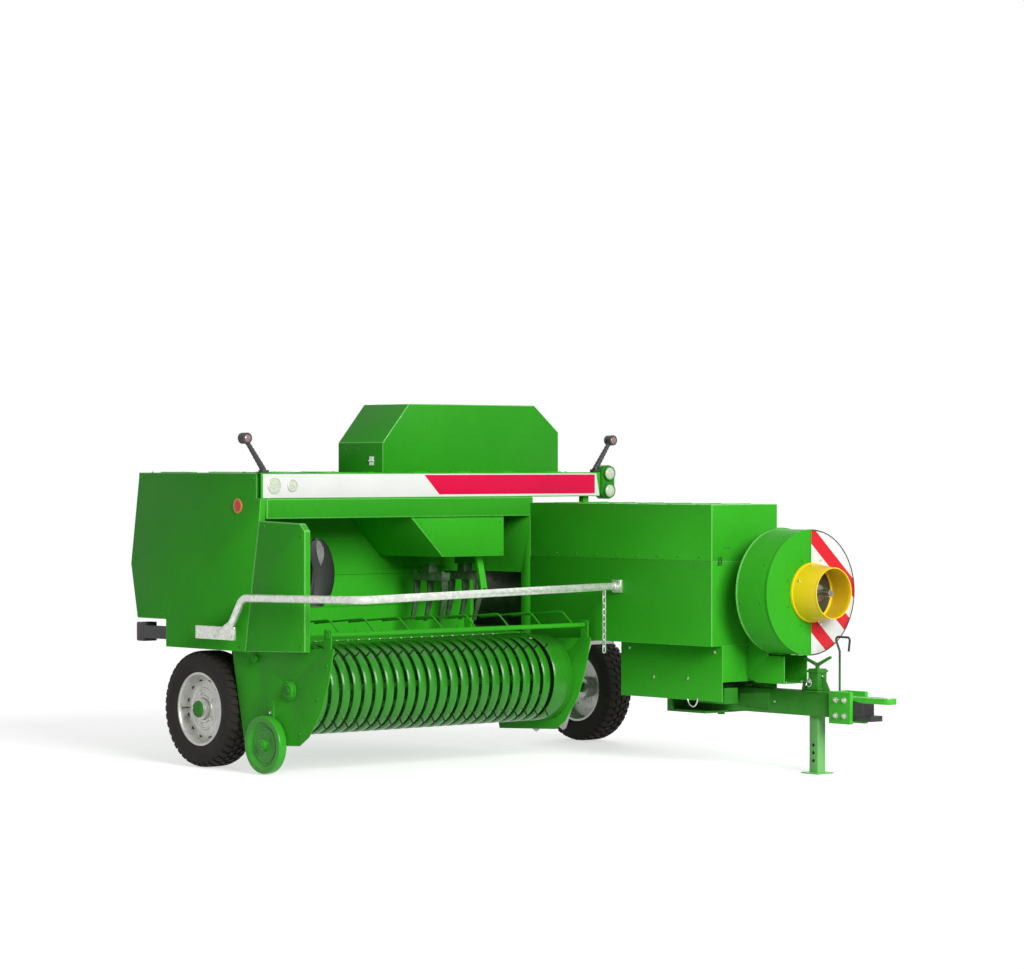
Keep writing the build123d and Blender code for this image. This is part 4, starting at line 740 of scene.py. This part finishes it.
@added("frame", 0.0008)
def cover_details(form):
    """Bolts, rivets, seam and hem of the flywheel cover, the edging of its half board, and a black baffle
    ring of painted shade inside the guard.
    """
    for turn in rounds(8, 0.5):
        x, z = cos(turn), sin(turn)
        place = (186 * x, -2443 if x > 0 else DRUM_FACE, INPUT_Z + 186 * z)
        form.bolt(place, AHEAD, GREEN if x < 0 else BRIGHT, 6, turn)
    for turn in rounds(10, 0.25):
        x, z = cos(turn), sin(turn)
        for y in (-2390, -2240):
            form.rivet((337 * x, y, INPUT_Z + 337 * z), (x, 0, z), GREEN, 6)
    for low, high in ((636, 818), (1120, 1300)):
        form.block((-6, -2444.5, low), (0, DRUM_FACE, high), GREEN)
    hem = [(0, 334), (0, 338.6), (4, 339.6), (10, 339.4), (12, 337)]
    form.ring((0, -2441.5, INPUT_Z), BACK, hem, GREEN, 96)
    # Dark edging of the striped half board
    turns = [radians(a) for a in range(-90, 91, 6)]
    form.tube([(2 + 334 * cos(a), -2443.5, INPUT_Z + 334 * sin(a)) for a in turns], 3.2, BLACK, 8)
    # Black baffle ring seen down the yellow guard, painted shade of the guard's inside, with darker green
    # openings in its web, painted shade too
    shade_ring = [(0, 150), (3, 150), (3, 64), (0, 62), (-8, 58), (-8, 50), (0, 48)]
    form.ring((0, -2444, INPUT_Z), BACK, shade_ring, BLACK, 48)
    for turn in rounds(6):
        middle = (104 * cos(turn), -2446, INPUT_Z + 104 * sin(turn))
        form.turned(middle, AHEAD, [(0, 22), (3, 22), (3, 17), (0, 15)], GREEN_INSIDE_SHADE, 20)


@added("frame")
def guard_details(form):
    """Rim bead, base ring and bolts of the yellow guard."""
    rim = [(0, 131.5), (-4, 133), (-4, 137), (0, 138.5), (6, 138.4), (9, 136.6)]
    form.ring((0, -2608, INPUT_Z), BACK, rim, YELLOW, 72)
    base = [(-4, 156), (-4, 160), (4, 161.5), (9, 161.5), (10, 157)]
    form.ring((0, -2452, INPUT_Z), BACK, base, YELLOW, 72)
    for turn in rounds(3, start=0.6):
        x, z = cos(turn), sin(turn)
        form.bolt((152 * x, -2487, INPUT_Z + 152 * z), (x, 0, z), BRIGHT, 5)


@added("flywheel", 0.0006)
def stub_details(form):
    """Splines and collar of the input stub, and the bolts of the flywheel."""
    for turn in rounds(6):
        c, s = cos(turn), sin(turn)
        outline = [(14, -4.2), (20.5, -3.4), (20.5, 3.4), (14, 4.2)]
        points = []
        for y in (-2587, -2505):
            points += [(r * c - t * s, y, INPUT_Z + r * s + t * c) for r, t in outline]
        form.add(points, ends(2, 4) + skin(2, 4), BRIGHT, False)
    collar = [(0, 43), (2, 46), (12, 46), (14, 43)]
    form.ring((0, -2502, INPUT_Z), BACK, collar, BRIGHT, 32)
    for turn in rounds(6):
        form.bolt((268 * cos(turn), -2372, INPUT_Z + 268 * sin(turn)), AHEAD, BLACKENED, 9)


@added("frame", 0.0012)
def lamp_details(form):
    """Lenses, bezels and rubber rings of the front, marker and tail lamps, and the round reflectors."""
    dome = [(0, 35), (3, 34.6), (8, 30), (11, 21), (12.5, 9), (12.8, 1)]
    bezel = [(-1, 42.5), (4, 42), (5, 38.5), (3, 34.5), (0, 34)]
    for z in (1503, 1603):
        form.ring((230, -612, z), AHEAD, bezel, GREEN_LOW, 40)
        form.turned((230, -612, z), AHEAD, dome, CLEAR, 40)
    for x, radius in ((-2194, 44), (-2072, 34)):
        rim = [(-1, radius), (5, radius), (6, radius - 3), (4, radius - 5)]
        form.ring((x, -580, 1541), AHEAD, rim, SILVER, 40)
        flat = [(0, radius - 4), (4.5, radius - 5), (6, radius * 0.6), (6.6, 1)]
        form.turned((x, -580, 1541), AHEAD, flat, CLEAR, 40)
    form.ring((COVER_RIGHT, -375, 1432), RIGHT, [(-1, 40), (4, 40), (6, 36), (5, 30)], AMBER, 40)
    form.turned((COVER_RIGHT, -375, 1432), RIGHT, [(0, 31), (5, 30), (9, 18), (10, 1)], RED_LENS, 40)
    for x, lean in ((-2249, -1), (160, 1)):
        foot, head = Vector((x, -560, 1624)), Vector((x + lean * 125, -560, 1795))
        run = head - foot
        for k in range(1, 9):
            radius = 16.8 - 5 * k / 9.5
            ring = [(-3, radius - 1.5), (-1.5, radius + 1), (1.5, radius + 1), (3, radius - 1.5)]
            form.turned(foot + run * (k / 9.5), run, ring, BLACK, 20)
        front, back = head - Vector((0, 22, 0)), head + Vector((0, 22, 0))
        seat = [(-2, 29.8), (3, 29.5), (4, 24), (2, 21)]
        form.ring(front, AHEAD, seat, BLACK, 32)
        form.turned(front, AHEAD, [(0, 21.5), (4, 20), (8, 13), (9, 1)], SMOKED, 32)
        form.turned(back, BACK, [(0, 22), (4, 21), (8, 14), (9, 1)], RED_LENS, 32)
        form.ring(back, BACK, seat, BLACK, 32)
        for side in (-1, 1):
            form.bolt((x + side * 13, -547, 1626), UP, BRIGHT, 4)
    for low, high, y in ((-2282, -2192, 560), (470, 700, 600)):
        cut = low + (high - low) * 0.58
        form.block((low + 5, y, 678), (cut - 2, y + 9, 772), RED_LENS)
        form.block((cut + 2, y, 678), (high - 5, y + 9, 772), AMBER)


@added("frame", 0.001)
def cover_fasteners(form):
    """Screws of the side cover, the guard and the roof, the roof's ribs, and the hood's flange and hinge."""
    for y, z in ((-515, 1580), (0, 1585), (505, 1580), (585, 1130), (540, 830), (320, 830), (-395, 680),
                 (240, 680), (-930, 700), (-930, 1280), (-610, 1325), (-470, 690)):
        form.bolt((COVER_RIGHT, y, z), RIGHT, GREEN, 5)
    for x in range(-2160, 120, 330):
        for low, high in ((-520, -250), (215, 500)):
            form.block((x, low, 1609), (x + 40, high, 1614), GREEN)
    for x in range(-2200, 160, 214):
        for y in (-552, 524):
            form.bolt((x, y, ROOF_TOP), UP, GREEN, 4.5)
    # Foot flange of the hood, and the strap hinge on its side
    for x, y, far_x, far_y in ((-1173, -245, HOOD_LEFT, -221), (-1173, 181, HOOD_LEFT, 205),
                               (-1173, -221, -1149, 181)):
        form.block((x, y, ROOF_TOP), (far_x, far_y, 1614), GREEN)
    for x in range(-1130, 150, 160):
        for y in (-233, 193):
            form.bolt((x, y, 1614), UP, GREEN, 5)
    form.block((-1153, -142, 1650), (-1149, -104, 1700), ZINC)
    form.rod((-1154, -146, 1675), (-1154, -100, 1675), 5, ZINC)
    for y in (-150, 0, 110):
        form.rivet((-1149, y, 1745), RIGHT, GREEN, 5)
        form.rivet((HOOD_LEFT, y, 1790), LEFT, GREEN, 5)


@added("drawbar", 0.001)
def drawbar_details(form):
    """Hitch bolts, towing-eye bush, jack pin, sleeve collars, plates and welds of the drawbar."""
    for y in (-2690, -2752):
        for z in (325, 408):
            for side in (-1, 1):
                form.bolt((side * 70, y, z), (side, 0, 0), BRIGHT, 12)
                form.rod((side * 78, y, z), (side * 88, y, z), 7, BRIGHT)
    form.ring((0, -2999, 411), UP, [(-17, 17), (-17, 27), (17, 27), (17, 17)], BRIGHT, 40)
    for x in (-51, 51):
        form.bead((x, -2637, 318), (x, -2637, 436), GREEN_LOW)
        form.bead((x, -2535, 441), (x, -2445, 441), GREEN_LOW)
    for y in (-2527, -2453):
        form.bead((-36, y, 441), (36, y, 441), GREEN_LOW)
    # Jack pin in two halves beside the leg, its ring, and the sleeve's collars and bolt
    form.rod((-62, JACK_Y, 500), (-34.5, JACK_Y, 500), 7, BRIGHT)
    form.rod((34.5, JACK_Y, 500), (58, JACK_Y, 500), 7, BRIGHT)
    form.turned((-62, JACK_Y, 500), RIGHT, [(-2, 12), (3, 12), (4, 9)], BRIGHT, 20)
    ring = [(-66, JACK_Y + 17 * sin(turn), 485 + 17 * cos(turn)) for turn in rounds(18)]
    form.tube(ring, 2.2, BRIGHT, 8, closed=True)
    for z in (456, 548):
        for side in (-1, 1):
            near, far = sorted((side * 34.8, side * 40.5))
            form.block((near, -2530.5, z - 6), (far, -2449.5, z + 6), GREEN_LOW)
            form.block((-34.8, JACK_Y + near, z - 6), (34.8, JACK_Y + far, z + 6), GREEN_LOW)
    form.bolt((0, -2530.5, 520), AHEAD, BRIGHT, 7)
    # Reinforcing plates and grease nipples on the beam's sides
    plate = [(-2180, 330), (-1960, 345), (-1960, 405), (-2180, 420)]
    nipple = [(0, 6), (6, 6), (6, 3.5), (12, 3.5), (14, 2)]
    for side in (-1, 1):
        near, far = sorted((side * 50, side * 55))
        form.plate(0, plate, near, far, GREEN_LOW)
        form.turned((side * 55, -2230, 375), (side, 0, 0), nipple, BRIGHT, 12)


@added("frame")
def carrier_details(form):
    """Cap of the swing pin, and the bolts of the carrier and of the pedestal's foot."""
    pin = [(0, 34), (4, 34), (6, 30), (6, 20.5), (22, 20.3), (24, 17)]
    form.turned((0, -1760, 453), UP, pin, BRIGHT, 32)
    for x in (-190, 92):
        for y in (-1860, -1660):
            form.bolt((x, y, 453), UP, BRIGHT, 10)
    for y in (-1950, -1850):
        form.bolt((-215, y, 400), RIGHT, BRIGHT, 9)
    for y in (-2312, -2200):
        for side in (-1, 1):
            form.bolt((side * 62, y, 480), UP, BRIGHT, 7)


@added("jack", 0.0005)
def jack_details(form):
    """Welds of the foot, and dark discs for the pin holes of the leg, painted shade."""
    for x in (-31, 31):
        form.bead((x, -2518, 10), (x, -2462, 10), GREEN_BRIGHT, 4)
    # Dark discs stand for the pin holes: painted shade.
    hole_shade = [(0, 9), (1.2, 9), (1.2, 7), (-1, 6.5)]
    for z in (70, 112, 154):
        for side in (-1, 1):
            form.turned((side * 30, JACK_Y, z), (side, 0, 0), hole_shade, BLACK_AND_HOLE_SHADE, 18)


# Pickup, feeder, chamber and rear


@added("pickup")
def pickup_details(form):
    """Bearing housings and bolts of the end plates, and the rivets of the stripper bands."""
    for x, side in ((PLATE_RIGHT, -1), (PLATE_LEFT, 1)):
        housing = [(0, 54), (5, 54), (8, 44), (16, 38), (20, 30), (20, 21.5)]
        form.ring((x, REEL_Y, REEL_Z), (side, 0, 0), housing, GREEN, 40)
        for turn in rounds(3, start=0.4):
            y, z = REEL_Y + 47 * sin(turn), REEL_Z + 47 * cos(turn)
            form.bolt((x + side * 5, y, z), (side, 0, 0), GREEN, 5.5)
        for y, z in ((-330, 590), (-420, 250), (-860, 230), (-1010, 420), (-1090, 600)):
            form.bolt((x, y, z), (side, 0, 0), GREEN, 5.5)
        form.ring((x, -1092, 761), (side, 0, 0), [(0, 24), (4, 24), (6, 20), (6, 11)], GREEN, 28)
    for i in range(BANDS):
        x = FIRST_BAND + BAND_PITCH * i + 26
        form.rivet((x, -548, 696), UP, ZINC, 6.5)
        form.rivet((x, -585, 216), DOWN, ZINC, 6.5)
    form.bolt((-2242, GAUGE_Y, 330), RIGHT, BRIGHT, 6)


@added("reel")
def reel_springs(form):
    """The coils of the spring tines on their square bars, and the bolts of the discs."""
    for turn in rounds(4, 0.5):
        y, z = REEL_Y - 150 * sin(turn), REEL_Z + 150 * cos(turn)
        for i in range(BANDS):
            x = FIRST_BAND + BAND_PITCH * i + 52 + 11.5
            path = []
            for step in range(31):
                a = 2 * pi * step / 10
                path.append((x - 10 + 20 * step / 30, y + 21 * cos(a), z + 21 * sin(a)))
            # The coils take the darker green, painted shade behind the bands.
            form.tube(path, 2.8, GREEN_INSIDE_SHADE, 5)
    for x in (-2227, -1321, -421):
        for turn in rounds(8):
            form.bolt((x, REEL_Y + 95 * sin(turn), REEL_Z + 95 * cos(turn)), RIGHT, BLACKENED, 6)


@added("gauge_wheel")
def gauge_details(form):
    """Pin head, pressed ridge and rivets of the gauge wheel."""
    form.turned((-2300, GAUGE_Y, GAUGE_Z), RIGHT, [(-1, 29), (3, 28), (5, 24), (5, 15.5)], GREEN_GLOSS, 32)
    ridge = [(-2, 100), (3, 97), (4.5, 90), (3, 83), (-2, 80)]
    form.turned((-2279, GAUGE_Y, GAUGE_Z), RIGHT, ridge, GREEN_GLOSS, 56)
    for turn in rounds(4, start=0.5):
        form.rivet((-2279, GAUGE_Y + 58 * sin(turn), GAUGE_Z + 58 * cos(turn)), RIGHT, GREEN_GLOSS, 6)


@added("frame")
def pivot_details(form):
    """Pivot cap of the pickup, and the bolts, weld and clamp ring of the rail."""
    form.turned((-2252.5, -480, 615), RIGHT, [(-2, 22), (2, 22), (4, 19), (4, 12)], GREEN, 28)
    form.bolt((-2255.5, -480, 615), RIGHT, GREEN_LOW, 10)
    for y, z in ((-1333, 999), (-1284, 963)):
        form.bolt((-374, y, z), RIGHT, BRIGHT, 8)
    for y in (-398, -250, -104):
        form.bolt((-2346, y, 727), RIGHT, BRIGHT, 8)
    form.bead((-2344, -396, 783), (-2344, -330, 783), ZINC, 4)
    ring = [(0, 22.5), (5, 24), (14, 24), (17, 22)]
    form.ring((-391, -1320, 980.6), (-1, 0.07, 0), ring, ZINC, 32)


@added("frame", 0.0015)
def trough_details(form):
    """Pressed ribs, stiffeners and screws of the feeder trough, its drive housing and the outer fork."""
    for z in (1232, 1046, 868):
        end = -1290 if z > 1100 else -400
        form.block((-2190, -7, z - 13), (end, 0, z + 13), GREEN)
    for x in range(-2120, -400, 190):
        form.bolt((x, 0, 716), AHEAD, GREEN, 5)
    for x in range(-2180, -360, 260):
        form.block((x, 4, 655), (x + 5, 40, 688), GREEN_LOW)
    for x in range(-2150, -420, 215):
        form.rivet((x, -470, 696), UP, GREEN, 5.5)
    # Housing of the feeder drive: cover screws, its hem, and the clamps of the forks
    for x, z in ((-1150, 1330), (-1060, 1215), (-960, 1160), (-750, 1160), (-565, 1160), (-565, 1330)):
        form.bolt((x, -560, z), AHEAD, GREEN, 5)
    for x in (-900, -640):
        form.block((x - 8, -346, 1090), (x + 68, -254, 1136), GREEN_LOW)
        for y in (-420, -300, -180):
            form.bolt((x + 30, y - 10, 1022), AHEAD, BRIGHT, 7)
            form.bolt((x + 30, y + 6, 1046), UP, BRIGHT, 6)
    # Crank arm that drives the left fork
    arm = [(-660, 1140), (-616, 1140), (-594, 1040), (-576, 950), (-582, 922), (-604, 918), (-620, 940),
           (-638, 1040)]
    form.plate(1, arm, -458, -444, GREEN_BRIGHT)
    form.rod((-598, -440, 945), (-598, -464, 945), 10, BLACKENED, 16)
    # Outer fork: crowned shield from (height, left, right) rows, a pale patch near its top that is a painted
    # highlight, and the collar of its shaft
    rows = [(1252, -1806, -1772), (1238, -1826, -1736), (1205, -1838, -1706), (1160, -1836, -1684),
            (1110, -1822, -1668), (1060, -1808, -1662), (1010, -1806, -1666), (960, -1812, -1680),
            (915, -1826, -1706), (880, -1846, -1746)]
    count, wide = len(rows), 9
    points, faces = [], []
    for back in (0, 1):
        for z, left, right in rows:
            for k in range(wide):
                share = k / (wide - 1)
                bulge = 20 * sin(pi * share) ** 0.6
                points.append((left + (right - left) * share, -432 - bulge + 5 * back, z))
    for back in (0, 1):
        for j in range(count - 1):
            for k in range(wide - 1):
                a = (back * count + j) * wide + k
                quad = (a, a + 1, a + wide + 1, a + wide)
                faces.append(quad if back else quad[::-1])
    rim = list(range(wide)) + [j * wide + wide - 1 for j in range(1, count)]
    rim += [(count - 1) * wide + k for k in range(wide - 2, -1, -1)]
    rim += [j * wide for j in range(count - 2, 0, -1)]
    for k in range(len(rim)):
        a, b = rim[k], rim[(k + 1) % len(rim)]
        faces.append((a, b, b + count * wide, a + count * wide))
    form.add(points, faces, BLACK_AND_HOLE_SHADE)
    highlight_patch = [(-1800, 1240), (-1780, 1236), (-1756, 1200), (-1752, 1160), (-1762, 1124), (-1776, 1100),
              (-1790, 1130), (-1802, 1170), (-1808, 1215)]
    form.plate(1, highlight_patch, -452, -446, CAST)
    collar = [(0, 20), (0, 40), (110, 46), (118, 46), (118, 20)]
    form.ring((-1800, -120, 1180), BACK, collar, BLACKENED, 32)


@added("frame")
def chamber_details(form):
    """Bolts of the chamber walls and cross frames, pressing springs, threads and crank grips."""
    for x, side in CASE_SIDES:
        for y in range(60, 1700, 180):
            for z in (720, 900, 1040):
                form.bolt((x, y + 20, z), (side, 0, 0), GREEN, 5.5)
    for y in (1210, 1590):
        for x in (-386, 174):
            form.spring((x, y, 1178), (x, y, 1312), 26, 4.2, 8, STEEL)
            for z in (1172, 1316):
                form.ring((x, y, z), UP, [(-3, 11.5), (-3, 31), (3, 31), (3, 11.5)], BRIGHT, 28)
            nut = [(0, 11.5), (0, 20), (14, 20), (16, 17)]
            form.turned((x, y, 1321), UP, nut, BRIGHT, 6, smooth=False)
            form.turned((x, y, 1337), UP, [(0, 11.2), (0, 11.9), (52, 11.9), (52, 11.2)], THREAD, 20)
            form.turned((x, y, 1405), UP, [(-1, 20), (4, 18), (6, 11)], BRIGHT, 24)
            for end in (-52, 112):
                form.rod((x, y + end, 1405), (x, y + end, 1462), 9, BLACK, 16, 3)
            form.turned((x, y, 598), DOWN, [(-2, 20), (12, 20), (14, 17)], BRIGHT, 6, smooth=False)
            form.bolt((x - 24, y, 1170), UP, GREEN_LOW, 6)
    for y in range(680, 1680, 160):
        form.rivet((-106, y, 1066), UP, ZINC, 7)
    # Cheeks of the measuring wheel, rods of the knotters, twine guides
    for x in (-150, -62):
        form.bolt((x, 440, 1120), RIGHT if x < -106 else LEFT, BRIGHT, 9)
    for x in (-236, -16):
        bend = ((-60, 1070), (-60, 1120), (-70, 1150), (-100, 1168), (-140, 1168))
        form.tube([(x, y, z) for y, z in bend], 6, BRIGHT)
        form.ring((x, -140, 1168), AHEAD, [(-2, 14), (4, 14), (4, 9), (-2, 9)], BRIGHT, 24)
        for y in (0, 120):
            form.bolt((x + 47, y, 1067), UP, BRIGHT, 7)
    for y, z in ((-40, 1190), (-640, 790)):
        form.bolt((182, y, z), LEFT, BRIGHT, 10)


@added("frame", 0.001)
def axle_details(form):
    """Clamp plates, bolts and welds of the axle, and the collars inside the wheels."""
    for x in (-236, 24):
        for y in (-58, 58):
            form.rod((x + 20, y, 268), (x + 20, y, 430), 8, BRIGHT)
            form.bolt((x + 20, y, 430), UP, BRIGHT, 12)
        for z in (262, 418):
            form.block((x - 6, -76, z), (x + 46, 76, z + 12), GREEN_LOW)
        form.bead((x, -47, 433), (x, 47, 433), GREEN_LOW)
    for x, side in ((-2042, -1), (462, 1)):
        form.turned((x, 0, HUB_Z), (side, 0, 0), [(0, 42), (10, 42), (16, 34), (30, 29)], GREEN_LOW, 32)
        for z in (276, 362):
            form.bead((x, -45, z), (x, 45, z), GREEN_LOW)


@added("twine_door", 0.0015)
def door_details(form):
    """Handle, hinge rivets, rubber latches and pressed ribs of the twine box door."""
    slope = atan2(78, 484)
    out = Vector((0, cos(slope), sin(slope)))

    def on_door(x, z):
        return Vector((x, 540 + (1588 - z) * 78 / 484, z))

    grip = []
    for dx, lift in ((-95, 0), (-95, 26), (-82, 38), (82, 38), (95, 26), (95, 0)):
        grip.append(on_door(-1330 + dx, 1180) + out * lift)
    form.tube(grip, 7, BLACK, 12)
    for x in (-2090, -1330, -570):
        for side in (-1, 1):
            form.rivet(on_door(x + side * 30, 1540), out, GREEN, 6)
    for x in (-2120, -540):
        base = on_door(x, 1150)
        form.turned(base, out, [(0, 24), (6, 24), (9, 20), (12, 20), (14, 16)], BLACK, 28)
        form.tube([base + out * 12, on_door(x, 1132) + out * 15, on_door(x, 1112) + out * 12], 6, BLACK, 10)
    for z in (1530, 1160):
        corners = ((-2200, z - 12), (-460, z - 12), (-460, z + 12), (-2200, z + 12))
        points = [on_door(*corner) for corner in corners]
        raised = [p + out * 5 for p in points]
        form.add(points + raised, ends(2, 4) + skin(2, 4), GREEN, False)


@added("frame", 0.0012)
def rear_details(form):
    """Screws of the rear sheets and the catches of the twine box door."""
    for x in (-2150, -1700, -1250, -800, -470):
        form.bolt((x, 560, 812), BACK, GREEN, 5)
    for x in (-2120, -540):
        form.block((x - 14, 596, 1058), (x + 14, 606, 1086), BLACK)
    for x in range(-300, 180, 110):
        form.bolt((x, 540, 1490), BACK, GREEN, 5)


@added("chute")
def chute_details(form):
    """Rivets of the chute and the washers of its pin."""
    drop = radians(8)
    for x in range(-280, 120, 94):
        for reach in (120, 300, 480):
            place = (x, CHUTE_Y + reach * cos(drop), CHUTE_Z - reach * sin(drop) + 6)
            form.rivet(place, (0, sin(drop), cos(drop)), GREEN_LOW, 7)
    washer = [(0, 9), (0, 18), (5, 18), (7, 15), (7, 9)]
    for side, x in ((-1, -320), (1, 108)):
        form.ring((x, CHUTE_Y, CHUTE_Z), (side, 0, 0), washer, BRIGHT, 28)


# Stage


LEVEL = 0.19  # plain level of the world's light
FLOOR_REACH = 60.0
FADE_START, FADE_END = 3.6, 6.4  # where the floor runs out to white, in metres from the middle
NEAR_GLOW = 0.6


def seen_rays(tree):
    """1 for what the camera, a reflection or a clear body sees, 0 for the light that falls on things."""
    path = tree.nodes.new("ShaderNodeLightPath")
    seen = path.outputs["Is Camera Ray"]
    for name in ("Is Glossy Ray", "Is Transmission Ray"):
        step = tree.nodes.new("ShaderNodeMath")
        step.operation = "MAXIMUM"
        tree.links.new(seen, step.inputs[0])
        tree.links.new(path.outputs[name], step.inputs[1])
        seen = step.outputs[0]
    return seen


def stage_floor():
    """A pale floor that runs out to plain white well behind and beside the machine."""
    mesh = bpy.data.meshes.new("floor")
    far = FLOOR_REACH
    mesh.from_pydata([(-far, -far, 0), (far, -far, 0), (far, far, 0), (-far, far, 0)], [], [(0, 1, 2, 3)])
    floor = new_object("floor", mesh)
    g = Graph("studio_floor")
    length = g.add("VectorMath", operation="LENGTH")
    g.link(g.place, length.inputs[0])
    fade = g.grey(length.outputs["Value"], 0.0, 1.0, FADE_START, FADE_END)
    seen = seen_rays(g.material.node_tree)
    lit = g.maths("MULTIPLY", seen, g.grey(fade, NEAR_GLOW, 1.0, 0.0, 1.0))
    near = g.ramp(g.noise(3.0, 2.0), [(0.3, (0.8, 0.8, 0.8)), (0.7, (0.82, 0.82, 0.82))])
    g.colour(g.mix(fade, near, (0.0, 0.0, 0.0)))
    g.link(g.maths("MAXIMUM", lit, g.maths("MULTIPLY", fade, LEVEL)), g.shader.inputs["Emission Strength"])
    g.rough(0.9)
    g.bump([(g.noise(60, 2.0), 0.02, 0.001)])
    g.plain(Specular_IOR_Level=0.1, Emission_Color=(1, 1, 1, 1))
    mesh.materials.append(g.material)


def stage_light(name, place, aim, size, power):
    data = bpy.data.lights.new(name, "AREA")
    data.shape = "RECTANGLE"
    data.size, data.size_y = size
    data.energy = power
    light = new_object(name, data)
    light.location = place
    light.visible_camera = False
    light.rotation_mode = "QUATERNION"
    light.rotation_quaternion = (Vector(aim) - Vector(place)).to_track_quat("-Z", "Y")


def stage_world():
    world = bpy.data.worlds.new("studio")
    bpy.context.scene.world = world
    world.use_nodes = True
    tree = world.node_tree
    background = tree.nodes["Background"]
    background.inputs["Color"].default_value = (1, 1, 1, 1)
    level = tree.nodes.new("ShaderNodeMath")
    level.operation = "MAXIMUM"
    tree.links.new(seen_rays(tree), level.inputs[0])
    level.inputs[1].default_value = LEVEL
    tree.links.new(level.outputs[0], background.inputs["Strength"])


def stage_camera():
    data = bpy.data.cameras.new("camera")
    data.sensor_width = 36.0
    data.lens = 123.05
    camera = new_object("camera", data)
    camera.location = at(-13622, -15467, 1659)
    turn, drop = radians(-41.4), radians(0.34)
    look = Vector((-sin(turn) * cos(drop), cos(turn) * cos(drop), -sin(drop)))
    camera.rotation_mode = "QUATERNION"
    camera.rotation_quaternion = look.to_track_quat("-Z", "Y")
    bpy.context.scene.camera = camera


stage_floor()
stage_world()
stage_camera()
stage_light("key", at(-4750, -15900, 7100), at(-800, 0, 800), (8.0, 7.0), 2700)
stage_light("rim", at(6500, 7000, 6000), at(-800, 0, 800), (6.0, 5.0), 300)
bpy.context.scene.view_settings.view_transform = "Standard"
